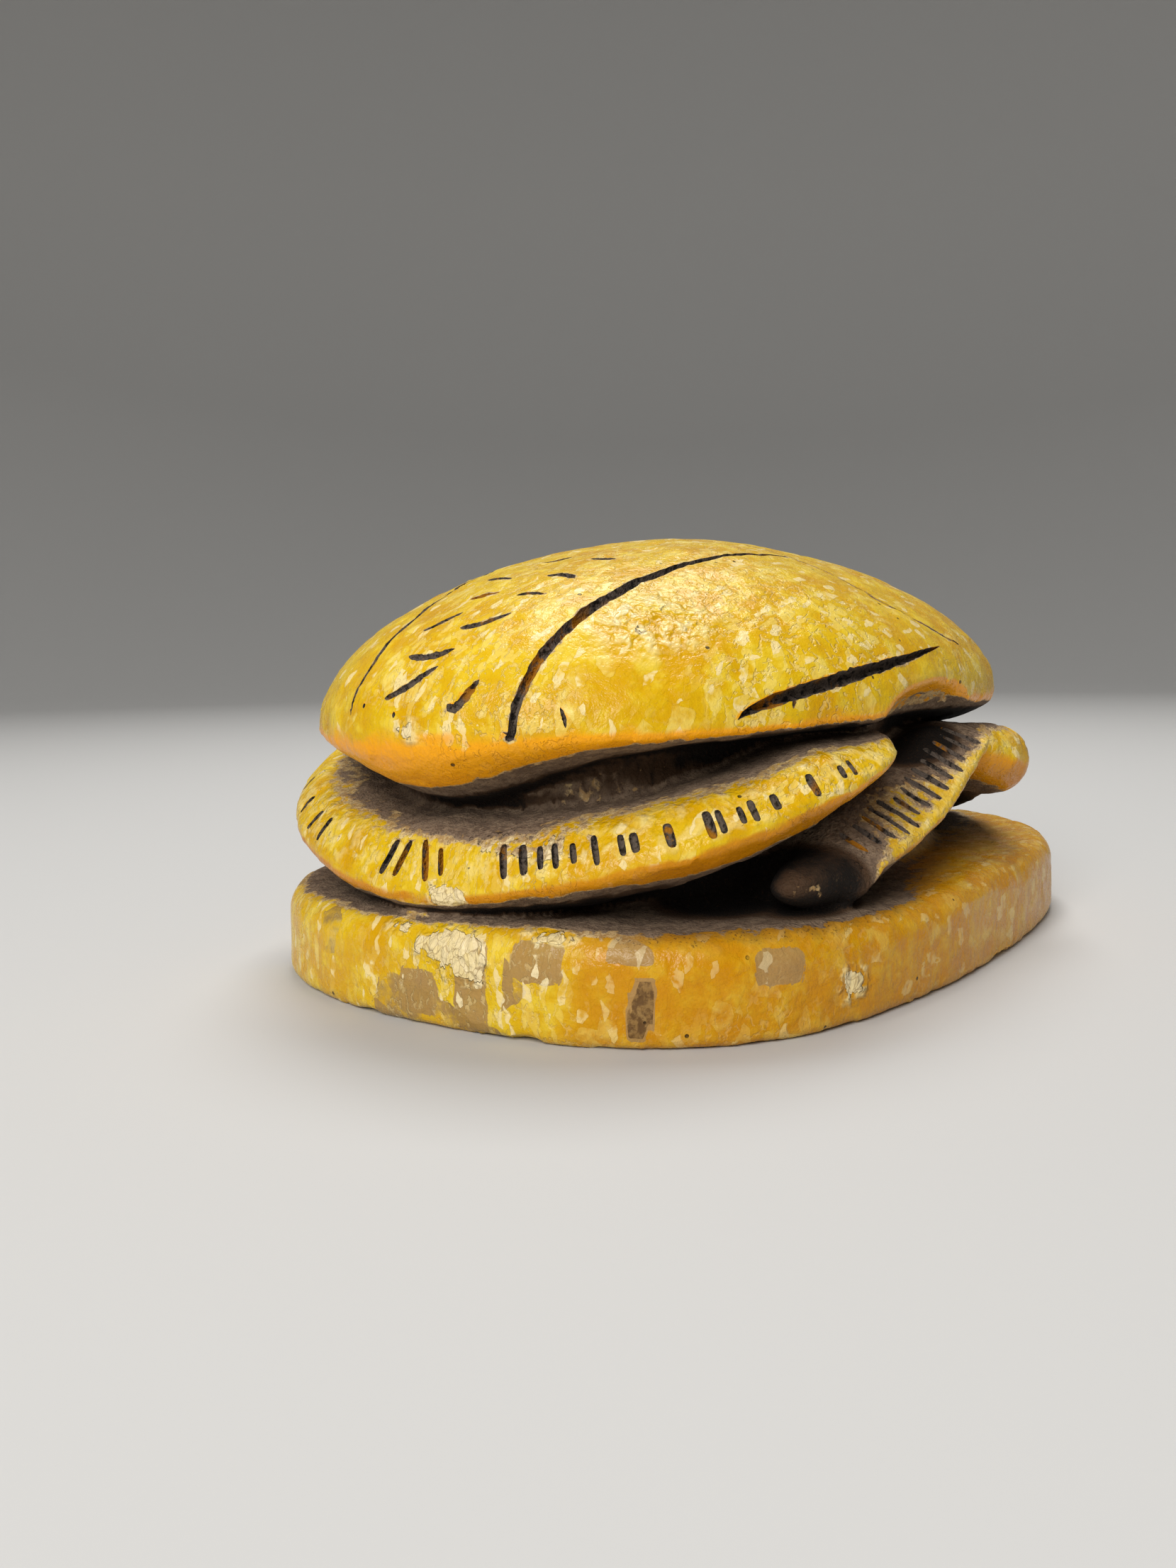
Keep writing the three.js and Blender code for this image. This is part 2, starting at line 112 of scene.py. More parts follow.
# Corners of the flange's section: a share of the plate's size, and the height over the top or the crest.
FLANGE_UPPER_CORNERS = ((0.62, 1.6), (0.86, 0.8), (0.92, 0.3), (0.945, -0.4))
FLANGE_LOWER_CORNERS = (
    (FLANGE_SHARE, 0.5),
    (FLANGE_SHARE - 0.002, -0.35),
    (0.945, -1.2),
    (0.86, -2.2),
    (0.62, -3.0),
)
SECTION_BLEND = 0.3

MIDDLE_LEG_START = -17.5
MIDDLE_LEG_END = 3.2
MIDDLE_LEG_SHARE = 0.953
MIDDLE_LEG_CREST = 9.7
MIDDLE_LEG_FROM = -15.8
MIDDLE_LEG_SLOPE = 0.2
MIDDLE_LEG_CURVE = 0.0085
MIDDLE_LEG_BREADTH = 4.2
MIDDLE_LEG_LIFT = 2.4
MIDDLE_LEG_EDGE_LIFT = 0.45
MIDDLE_LEG_TAIL_DROP = 1.4
MIDDLE_LEG_END_ROUND = 1.6
FOOT_CENTRE = np.array((-16.8, 19.8, 8.7))
FOOT_RADII = np.array((6.2, 2.2, 1.6))

FORE_LEG_ROUTE = ((2, 20.5, 15.6), (9.5, 21.7, 14.3), (16, 18.4, 12.8), (23, 15, 11), (29, 10.5, 8.4))
FORE_LEG_STEPS = 16
FORE_LEG_RADIUS = 1.9
FORE_LEG_KNEE = 0.8
FORE_LEG_ROOT_SHIFT = (0, 2.2, 0)
SKULL_CENTRE = np.array((23.0, 0.0, 14.0))
SKULL_RADII = np.array((8.5, 9.6, 6.2))
EYE_CENTRE = np.array((23.5, 8.6, 14.4))
EYE_RADII = np.array((3.0, 2.6, 2.2))
CLYPEUS_CENTRE = 25.0
CLYPEUS_REACH = NODE_HIGH[0] - CLYPEUS_CENTRE
CLYPEUS_HALF_WIDTH = 10.4
CLYPEUS_TILT = 0.32
CLYPEUS_HEIGHT = 10.0
CLYPEUS_THICKNESS = 1.6
CLYPEUS_TOOTH = 0.1
CLYPEUS_TEETH_A_TURN = 12

# Turns from the tail, in degrees, at which the flange's hatch notches stand.
RIGHT_HATCHES = (
    (1, 4, 15, 18, 20.5, 22.6, 25, 27.8, 31, 32.5)
    + (36.5, 41, 42.3, 44.7, 46.1, 48.7, 53.4, 57.4, 58.8)
)
LEFT_HATCHES = (3.7, 6.6, 25.3, 29.5, 36, 44, 50, 57)
HATCH_LEAN = 0.28
MIDDLE_LEG_HATCHES = 14
MIDDLE_LEG_HATCH_FROM = -15.6
MIDDLE_LEG_HATCH_TO = 0.9
MIDDLE_LEG_HATCH_LENGTH = 3.6

# Rows of strokes: how far along each row lies, and from where to where it runs across.
STROKE_ROWS = (
    (-34.2, 1.6, -5.2),
    (-32.6, 1.4, -4.6),
    (-29.8, 2.2, -4.0),
    (-26.6, 1.2, -6.4),
    (-23.4, 3.2, -5.0),
    (-18.8, 1.0, -4.8),
)
UNDERSIDE_ROWS = (
    (-20.0, 12.5, -12.5),
    (-7.0, 16.0, -16.0),
    (6.0, 16.0, -16.0),
    (19.0, 12.5, -12.5),
)
BORDER_SHARE = 0.86
# Balls that take corners off the plate: the middle and the radius of each.
BROKEN_CORNERS = (((-34.5, 14.4, 8.0), 1.7), ((-34.6, 14.2, -0.9), 1.9), ((-35.9, 4.0, -0.8), 1.5))
# Slips of the graver: where each starts, how far it runs along and up, and how wide it is.
HAIR_MARKS = (
    (-20.9, 19.6, 0.4, 1.1, 0.3),
    (-32.4, 18.9, 0.1, 1.2, 0.26),
)
PINHOLES = ((-35.0, 3.2), (-35.45, 0.1))

# Patches of the finish: the middle of each, its half sizes and its strength.
BARE_AND_HIGHLIGHT_PATCHES = (
    ((-34.3, -2.6, 8.2), (1.3, 1.2, 0.8), 1.0),
    ((-35.2, -3.0, 5.4), (1.4, 2.2, 1.1), 1.0),
    ((-34.9, -4.6, 4.3), (1.4, 1.2, 1.0), 0.9),
    ((-34.0, -10.2, 6.6), (1.4, 1.9, 0.5), 0.8),
    ((-35.3, 1.0, 6.3), (1.2, 1.8, 0.6), 0.7),
    ((-31.0, -7.5, 11.6), (3.5, 4.5, 0.9), 0.55),
    ((-20.2, -23.4, 2.8), (1.2, 0.8, 1.0), 0.7),
    ((-35.7, -1.2, 18.7), (0.8, 0.9, 0.7), 0.5),
    # This patch lies where the broad highlight falls high on the back: its cream tint is painted highlight as
    # well as flaked stone.
    ((-25.0, -12.2, 25.0), (4.2, 3.4, 2.6), 0.3),
)
# Patches on both sides: the foot, the plate top under the flange and the armpit under the back's rim are
# strong enough to be painted shade, standing in for their shadow; the weak patch on the middle leg is dirt.
SOILED_AND_SHADED_ON_BOTH_SIDES = (
    ((-17.0, 19.0, 8.2), (8.5, 4.8, 2.9), 1.15),
    ((-14.0, 14.0, 7.5), (14.0, 6.0, 2.2), 1.3),
    ((-7.0, 21.5, 12.5), (9.0, 4.0, 4.0), 0.25),
    ((-4.0, 20.5, 16.6), (8.0, 3.6, 2.6), 1.1),
)
SOILED_PATCHES = (
    ((8.0, -14.0, 16.0), (10.0, 7.0, 5.0), 0.5),
    ((8.0, -21.5, 16.5), (3.0, 2.5, 1.3), 0.6),
    ((-33.0, -5.0, 12.4), (3.0, 7.0, 1.2), 0.4),
)
TAUPE_PATCHES = (
    ((-35.0, -4.9, 3.0), (1.5, 1.1, 2.6), 1.0),
    ((-35.0, -0.6, 2.2), (1.5, 1.5, 1.4), 1.0),
    ((-34.2, -9.4, 5.0), (1.5, 1.5, 1.1), 1.0),
    ((-32.3, -14.7, 6.1), (1.2, 1.1, 0.8), 1.0),
    ((-31.95, -15.1, 1.9), (0.8, 0.34, 0.85), 4.0),
    ((-31.5, -15.6, 3.2), (0.8, 0.34, 0.85), 4.0),
    ((-25.5, -21.2, 4.6), (1.4, 1.0, 1.0), 1.0),
)

CAMERA_PLACE = Vector((-0.08969, -0.05496, 0.02367))
CAMERA_FORWARD = Vector((0.79739, 0.59319, -0.11083))
CAMERA_RIGHT = Vector((0.59531, -0.80333, -0.01656))
CAMERA_UP = Vector((0.09885, 0.05277, 0.99370))

# The distance given to points well away from a form.
FAR = 6.0


def smooth_min(a, b, blend):
    overlap = np.clip(blend - np.abs(a - b), 0, None) / blend
    return np.minimum(a, b) - overlap * overlap * blend / 4


def smooth_max(a, b, blend):
    return -smooth_min(-a, -b, blend)


def ease(value, start, end):
    t = np.clip((value - start) / (end - start), 0, 1)
    return t * t * (3 - 2 * t)


def oval_share(oval, x, y):
    """The share of the oval's size at which each point lies, and how many millimetres one share is there."""
    u = np.abs(x - oval.centre) / oval.half_length + 1e-9
    v = np.abs(y) / oval.half_width + 1e-9
    n = oval.exponent
    share = (u**n + v**n) ** (1 / n)
    slope = np.hypot(u ** (n - 1) / oval.half_length, v ** (n - 1) / oval.half_width) / share ** (n - 1)
    return share, 1 / slope


def oval_half_width(oval, x):
    u = np.clip(np.abs(x - oval.centre) / oval.half_length, 0, 1)
    return oval.half_width * (1 - u**oval.exponent) ** (1 / oval.exponent)


def turn_from_tail(oval, x, y):
    return np.arctan2(np.abs(y) / oval.half_width, -(x - oval.centre) / oval.half_length)


def ellipsoid_distance(p, centre, radii):
    offset = p - centre
    near = np.linalg.norm(offset / radii, axis=1)
    return near * (near - 1) / (np.linalg.norm(offset / radii**2, axis=1) + 1e-9)


def both_sides(p):
    """The points folded onto the left side, for the forms that both sides share."""
    return np.column_stack((p[:, 0], np.abs(p[:, 1]), p[:, 2]))


def limited(p, low, high, field):
    """field(p) inside the box from low to high, and FAR outside it, to save time."""
    inside = np.all((p > low) & (p < high), axis=1)
    result = np.full(len(p), FAR)
    if inside.any():
        result[inside] = field(p[inside])
    return result


def section_distance(corners, across, up, blend):
    """Distance outside a convex section, whose corners run from its inner top outwards and round below."""
    result = None
    for (a, b), (c, d) in zip(corners, corners[1:]):
        run = c - a
        rise = d - b
        length = np.hypot(run, rise)
        face = ((up - b) * run - (across - a) * rise) / length
        result = face if result is None else smooth_max(result, face, blend)
    return result


# ---- the parts of the carving ------------------------------------------------------------------------


def plate_distance(p):
    share, scale = oval_share(PLATE, p[:, 0], p[:, 1])
    wall = (share - 1) * scale
    return smooth_max(wall, p[:, 2] - PLATE_HEIGHT, 2 * PLATE_TOP_ROUND)


def waist_distance(p):
    share, scale = oval_share(WAIST, p[:, 0], p[:, 1])
    return np.maximum((share - 1) * scale, p[:, 2] - WAIST_TOP)


def rim_height(along):
    return RIM_HEIGHT + RIM_RISE * along


def crown_height(along):
    return CROWN_HEIGHT * (1 + CROWN_LEAN * along)


def belly_depth(p):
    from_tail = turn_from_tail(BACK, p[:, 0], p[:, 1])
    tail = BELLY_TAIL_DEPTH * np.exp(-((from_tail / BELLY_TAIL_SPREAD) ** 2))
    return BELLY_DEPTH + tail + BELLY_FRONT_DEPTH * ease(-np.cos(from_tail), 0, 0.5)


def back_fields(p):
    """How far each point stands outside the crown and outside the belly, as shares of their size."""
    along = (p[:, 0] - BACK.centre) / BACK.half_length
    plan, _ = oval_share(BACK, p[:, 0], p[:, 1])
    climb = (p[:, 2] - rim_height(along)) / crown_height(along)
    sink = (rim_height(along) - p[:, 2]) / belly_depth(p)
    crown = (plan**CROWN_EXPONENT + np.clip(climb, 0, None) ** CROWN_EXPONENT) ** (1 / CROWN_EXPONENT)
    belly = (plan**BELLY_EXPONENT + np.clip(sink, 0, None) ** BELLY_EXPONENT) ** (1 / BELLY_EXPONENT)
    return crown - 1, belly - 1


def slopes(field, p, step=0.02):
    """The gradient of a field at each point."""
    columns = []
    for axis in range(3):
        shift = np.zeros(3)
        shift[axis] = step
        columns.append((field(p + shift) - field(p - shift)) / (2 * step))
    return np.column_stack(columns)


def back_distance(p):
    crown, belly = back_fields(p)
    crown_scale = np.linalg.norm(slopes(lambda q: back_fields(q)[0], p), axis=1)
    belly_scale = np.linalg.norm(slopes(lambda q: back_fields(q)[1], p), axis=1)
    rounded = smooth_max(crown / (crown_scale + 1e-6), belly / (belly_scale + 1e-6), RIM_ROUND)
    armpit = ellipsoid_distance(both_sides(p), ARMPIT_CENTRE, ARMPIT_RADII)
    return smooth_max(rounded, -armpit, ARMPIT_BLEND)


def flange_crest(reach):
    return FLANGE_TAIL_CREST + FLANGE_CREST_RISE * reach**FLANGE_RISE_EXPONENT


def flange_top(reach):
    face = FLANGE_FACE_HEIGHT + FLANGE_TAIL_FACE_EXTRA * np.clip(1 - reach, 0, None) ** 2
    return flange_crest(reach) + face


def flange_distance(p):
    share, scale = oval_share(PLATE, p[:, 0], p[:, 1])
    from_tail = turn_from_tail(PLATE, p[:, 0], p[:, 1])
    reach = from_tail / FLANGE_SPAN
    crest = flange_crest(reach)
    top = flange_top(reach)
    nose = np.clip((reach - FLANGE_NOSE_START) / (1 - FLANGE_NOSE_START), 0, 1)
    narrowing = np.sqrt(1 - FLANGE_NOSE_NARROWING * nose**3)
    share = FLANGE_ROOT_SHARE + (share - FLANGE_ROOT_SHARE) / narrowing
    height = crest + (p[:, 2] - crest) / (1 - FLANGE_NOSE_THINNING * nose)
    corners = [(corner * scale, top + rise) for corner, rise in FLANGE_UPPER_CORNERS]
    corners += [(corner * scale, crest + rise) for corner, rise in FLANGE_LOWER_CORNERS]
    body = section_distance(corners, share * scale, height, SECTION_BLEND)
    end = (from_tail - FLANGE_SPAN) * PLATE.half_width
    return smooth_max(body, end, FLANGE_END_ROUND)


def middle_leg_crest(x):
    run = x - MIDDLE_LEG_FROM
    return MIDDLE_LEG_CREST + MIDDLE_LEG_SLOPE * run + MIDDLE_LEG_CURVE * run * np.abs(run)


def middle_leg_share(x):
    """How far along the leg each point lies, from 0 at its tail end to 1 at its head end."""
    return (x - MIDDLE_LEG_START) / (MIDDLE_LEG_END - MIDDLE_LEG_START)


def middle_leg_lift(x):
    """How far the leg's upper face rises from its outer edge to its root, less towards the knee."""
    return MIDDLE_LEG_LIFT * (1 - 0.45 * ease(middle_leg_share(x), 0.75, 1))


def middle_leg_distance(p):
    x, y, z = both_sides(p).T
    crest = middle_leg_crest(x) - MIDDLE_LEG_TAIL_DROP * (1 - ease(middle_leg_share(x), 0, 0.14))
    inset = oval_half_width(PLATE, x) * MIDDLE_LEG_SHARE - y
    lift = middle_leg_lift(x)
    breadth = MIDDLE_LEG_BREADTH
    section = [
        (breadth + 4, lift - 0.6),
        (breadth, lift),
        (0.25, MIDDLE_LEG_EDGE_LIFT),
        (0, -0.1),
        (0.5, -0.7),
        (2.8, -2.4),
        (breadth + 4, -4.5),
    ]
    corners = [(-depth, rise) for depth, rise in section]
    body = section_distance(corners, -inset, z - crest, SECTION_BLEND)
    ends = np.maximum(MIDDLE_LEG_START - x, x - MIDDLE_LEG_END)
    return smooth_max(body, ends, MIDDLE_LEG_END_ROUND)


def foot_distance(p):
    return ellipsoid_distance(both_sides(p), FOOT_CENTRE, FOOT_RADII)


def route_points(corners, count):
    """Points along a smooth curve through the corners, by Catmull and Rom's rule."""
    corners = np.array(corners, float)
    ends = np.vstack((2 * corners[0] - corners[1], corners, 2 * corners[-1] - corners[-2]))
    points = []
    for t in np.linspace(0, len(corners) - 1, count):
        i = min(int(t), len(corners) - 2)
        s = t - i
        a, b, c, d = ends[i : i + 4]
        second = 2 * a - 5 * b + 4 * c - d
        third = 3 * b - a - 3 * c + d
        points.append(0.5 * (2 * b + (c - a) * s + second * s**2 + third * s**3))
    return np.array(points)


def bead_distance(p, points, radii):
    """Distance outside a bead of changing radius laid along a row of points."""
    result = np.full(len(p), FAR)
    for a, b, ra, rb in zip(points[:-1], points[1:], radii[:-1], radii[1:]):
        low = np.minimum(a, b) - max(ra, rb) - 1.5
        high = np.maximum(a, b) + max(ra, rb) + 1.5
        inside = np.all((p > low) & (p < high), axis=1)
        if not inside.any():
            continue
        offset = p[inside] - a
        along = b - a
        t = np.clip(offset @ along / (along @ along), 0, 1)
        gap = np.linalg.norm(offset - t[:, None] * along, axis=1) - (ra + (rb - ra) * t)
        result[inside] = np.minimum(result[inside], gap)
    return result


def fore_leg_distance(p):
    points = route_points(FORE_LEG_ROUTE, FORE_LEG_STEPS)
    t = np.linspace(0, 1, FORE_LEG_STEPS)
    knee = FORE_LEG_KNEE * np.exp(-(((t - 0.3) / 0.2) ** 2))
    radii = (FORE_LEG_RADIUS + knee) * np.sqrt(1 - 0.6 * np.abs(2 * t - 1) ** 6)
    folded = both_sides(p)
    bead = bead_distance(folded, points, radii)
    root = bead_distance(folded, points - FORE_LEG_ROOT_SHIFT, radii * 0.95)
    return smooth_min(bead, root, 1.0)


def clypeus_distance(p):
    x = p[:, 0] - CLYPEUS_CENTRE
    turn = np.arctan2(np.abs(p[:, 1]) / CLYPEUS_HALF_WIDTH, x / CLYPEUS_REACH)
    front = np.clip(np.cos(turn), 0, None)
    scallop = 1 - CLYPEUS_TOOTH * front * (0.5 - 0.5 * np.cos(CLYPEUS_TEETH_A_TURN * turn))
    share = np.hypot(x / CLYPEUS_REACH, p[:, 1] / CLYPEUS_HALF_WIDTH) / scallop
    height = p[:, 2] - CLYPEUS_HEIGHT + CLYPEUS_TILT * x
    slab = np.maximum(height - CLYPEUS_THICKNESS - (1 - share), -height)
    return smooth_max((share - 1) * 10, slab, 0.6)


def head_distance(p):
    skull = ellipsoid_distance(p, SKULL_CENTRE, SKULL_RADII)
    eyes = ellipsoid_distance(both_sides(p), EYE_CENTRE, EYE_RADII)
    return smooth_min(smooth_min(skull, clypeus_distance(p), 0.7), eyes, 0.4)


# ---- the whole carving -------------------------------------------------------------------------------


WANDER_LENGTH = 22
WANDER_SIZE = 0.14
WANDER_SEEDS = (3, 4, 5)
RIPPLE_LENGTH = 5
RIPPLE_SIZE = 0.03
RIPPLE_SEED = 9
EDGE_CHIPS = 40
CHIP_SEED = 17
CHIP_BLEND = 0.12
LOW_CHIP_CHANCE = 0.15
# Chips of the plate's two edges: the least bite, what chance adds to it, the height and the way out.
FOOT_CHIP = (0.03, 0.1, 0.25, -0.8)
TOP_CHIP = (0.08, 0.26, PLATE_HEIGHT - 0.3, 0.9)


def unevenness(p, wavelength, size, seed, waves=6):
    """A gentle wandering of hand-worked surfaces: the sum of a few waves in seeded directions."""
    rng = np.random.default_rng(seed)
    total = np.zeros(len(p))
    for _ in range(waves):
        direction = rng.normal(size=3)
        direction /= np.linalg.norm(direction)
        length = wavelength * rng.uniform(0.7, 1.6)
        total += np.sin(p @ direction * (2 * math.pi / length) + rng.uniform(0, 2 * math.pi))
    return total * size / math.sqrt(waves)


def wander(p):
    """How far the hand strayed from the exact forms at each point."""
    return np.column_stack([unevenness(p, WANDER_LENGTH, WANDER_SIZE, seed) for seed in WANDER_SEEDS])


def edge_chips():
    """Balls that bite small chips out of the plate's top and foot edges, and its broken corners."""
    rng = np.random.default_rng(CHIP_SEED)
    chips = []
    for _ in range(EDGE_CHIPS):
        side = rng.choice((-1, 1))
        angle = rng.uniform(0, math.pi)
        low = rng.random() < LOW_CHIP_CHANCE
        radius = rng.uniform(0.7, 2.2)
        least, range_of_bite, height, upward = FOOT_CHIP if low else TOP_CHIP
        bite = least + range_of_bite * rng.random() ** 3
        edge = oval_point(PLATE, 0.992, angle, side, height)
        away = np.array((edge[0] / 40, edge[1] / 28, upward))
        away /= np.linalg.norm(away)
        chips.append((edge + away * (radius - bite), radius))
    for centre, radius in BROKEN_CORNERS:
        chips.append((np.array(centre), radius))
    return chips


# The forms that stand on the plate and waist: the box that holds each, its field and its blend.
FORMS = (
    ((-40, -40, 2), (6, 40, 24), flange_distance, 0.5),
    ((-21, -40, 2), (7, 40, 24), middle_leg_distance, 0.7),
    ((-28, -26, 3), (-9, 26, 14), foot_distance, 1.1),
    ((-3, -28, 3), (35, 28, 22), fore_leg_distance, 0.7),
    ((12, -16, 4), (40, 16, 24), head_distance, 0.8),
    ((-40, -30, 6), (40, 30, 40), back_distance, 0.7),
)


def carving_distance(p, chips=()):
    q = p + wander(p)
    body = smooth_min(plate_distance(q), waist_distance(q), WAIST_BLEND)
    for low, high, field, blend in FORMS:
        body = smooth_min(body, limited(q, low, high, field), blend)
    body += unevenness(p, RIPPLE_LENGTH, RIPPLE_SIZE, RIPPLE_SEED, waves=9)
    for centre, radius in chips:
        near = np.flatnonzero(np.all(np.abs(p - centre) < radius + 1.2, axis=1))
        gap = radius - np.linalg.norm(p[near] - centre, axis=1)
        body[near] = smooth_max(body[near], gap, CHIP_BLEND)
    return smooth_max(body, -p[:, 2], 2 * PLATE_FOOT_ROUND)


# ---- from the field to a mesh ------------------------------------------------------------------------


def field_on_grid(field, step):
    """The field on a fine grid, worked out exactly only near the surface."""
    low = NODE_LOW - 1.5
    block = 6
    blocks = np.ceil((NODE_HIGH + 1.5 - low) / (step * block)).astype(int)
    centres = np.stack(np.meshgrid(*[np.arange(n) for n in blocks], indexing="ij"), -1).reshape(-1, 3)
    rough = field(low + (centres + 0.5) * step * block)
    reach = step * block * 1.6 + 0.4
    grid = np.repeat(rough.reshape(blocks), block, 0).repeat(block, 1).repeat(block, 2)
    near = np.flatnonzero(np.abs(grid.ravel()) < reach)
    cells = np.column_stack(np.unravel_index(near, grid.shape))
    values = grid.ravel()
    for start in range(0, len(near), 400000):
        chunk = slice(start, start + 400000)
        values[near[chunk]] = field(low + cells[chunk] * step)
    return values.reshape(grid.shape), low


def part_of(array, offset, size):
    return array[tuple(slice(o, o + n) for o, n in zip(offset, size))]


def fill_touching_corners(values):
    """Fills grid points so that no two parts of the surface meet along a single edge."""
    for _ in range(6):
        changed = 0
        inside = values < 0
        for axis in range(3):
            side = np.eye(3, dtype=int)[(axis + 1) % 3]
            up = np.eye(3, dtype=int)[(axis + 2) % 3]
            size = np.array(values.shape) - side - up
            a, b, c, d = (part_of(inside, shift, size) for shift in (0 * side, side, side + up, up))
            crossed = (a == c) & (b == d) & (a != b)
            for first, cells in ((0 * side, np.argwhere(crossed & ~a)), (side, np.argwhere(crossed & a))):
                values[tuple((cells + first).T)] = -1e-3
                changed += len(cells)
        if not changed:
            break


def surface_net(values, low, step):
    """Vertices and quads of the surface where the values change sign."""
    inside = values < 0
    size = np.array(values.shape) - 1
    corners = [np.array((i, j, k)) for i in (0, 1) for j in (0, 1) for k in (0, 1)]
    count = sum(part_of(inside, corner, size).astype(np.int8) for corner in corners)
    cells = np.argwhere((count > 0) & (count < 8))
    number = np.full(count.shape, -1, np.int32)
    number[tuple(cells.T)] = np.arange(len(cells))
    total = np.zeros((len(cells), 3))
    crossings = np.zeros(len(cells))
    quads = []
    for axis in range(3):
        unit, side, up = (np.eye(3, dtype=int)[(axis + turn) % 3] for turn in range(3))
        for corner in corners:
            if corner[axis]:
                continue
            start = values[tuple((cells + corner).T)]
            end = values[tuple((cells + corner + unit).T)]
            crossed = (start < 0) != (end < 0)
            t = np.where(crossed, start / np.where(crossed, start - end, 1), 0)
            total += crossed[:, None] * (corner + t[:, None] * unit)
            crossings += crossed
        long = np.array(values.shape) - unit
        here = part_of(inside, 0 * unit, long)
        edges = np.argwhere(here != part_of(inside, unit, long))
        shifts = (0 * side, side, side + up, up)
        quad = np.column_stack([number[tuple((edges - shift).T)] for shift in shifts])
        outward = here[tuple(edges.T)]
        quads.append(np.where(outward[:, None], quad, quad[:, ::-1]))
    return low + step * (cells + total / crossings[:, None]), np.vstack(quads)


def settle(vertices, field, step):
    """Moves each vertex onto the surface itself, by at most half a grid step."""
    gradient = slopes(field, vertices, 0.05)
    strength = np.sum(gradient**2, axis=1)
    move = (field(vertices) / np.maximum(strength, 0.2))[:, None] * gradient
    length = np.linalg.norm(move, axis=1)
    move *= np.minimum(1, 0.5 * step / np.maximum(length, 1e-9))[:, None]
    return np.clip(vertices - move, NODE_LOW, NODE_HIGH)


def flake_relief(vertices, normals, size, height):
    """Lifts and sinks the surface a little by angular cells, as where stone chips stand in the casting."""
    lifted = vertices.copy()
    for i, (vertex, normal) in enumerate(zip(vertices, normals)):
        spot = Vector(vertex) / size
        seed = noise.voronoi(spot)[1][0]
        lifted[i] += normal * (noise.cell(seed * 7.3) - 0.5) * 2 * height
    return np.clip(lifted, NODE_LOW, NODE_HIGH)


def mesh_object(name, vertices, faces):
    """An object at the origin from vertices in millimetres."""
    mesh = bpy.data.meshes.new(name)
    mesh.from_pydata((np.asarray(vertices) * MM).tolist(), [], np.asarray(faces).tolist())
    mesh.update()
    made = bpy.data.objects.new(name, mesh)
    bpy.context.scene.collection.objects.link(made)
    return made


def settle_modifiers(piece):
    """Makes the modifiers' result the piece's own mesh and removes them."""
    shown = piece.evaluated_get(bpy.context.evaluated_depsgraph_get())
    mesh = bpy.data.meshes.new_from_object(shown)
    piece.modifiers.clear()
    piece.data = mesh
    return mesh


def drop_crumbs(mesh):
    """Keeps only the largest connected part: thin cuts can leave a crumb of stone loose."""
    stone = bmesh.new()
    stone.from_mesh(mesh)
    waiting = set(stone.verts)
    parts = []
    while waiting:
        part = [waiting.pop()]
        for vertex in part:
            for edge in vertex.link_edges:
                other = edge.other_vert(vertex)
                if other in waiting:
                    waiting.remove(other)
                    part.append(other)
        parts.append(part)
    parts.sort(key=len)
    for crumb in parts[:-1]:
        bmesh.ops.delete(stone, geom=crumb, context="VERTS")
    stone.to_mesh(mesh)
    stone.free()


def vertex_array(mesh, what="co"):
    source = mesh.vertices if what == "co" else mesh.vertex_normals
    values = np.empty(len(source) * 3, np.float32)
    source.foreach_get("co" if what == "co" else "vector", values)
    return values.reshape(-1, 3).astype(float)


# ---- node arithmetic ---------------------------------------------------------------------------------


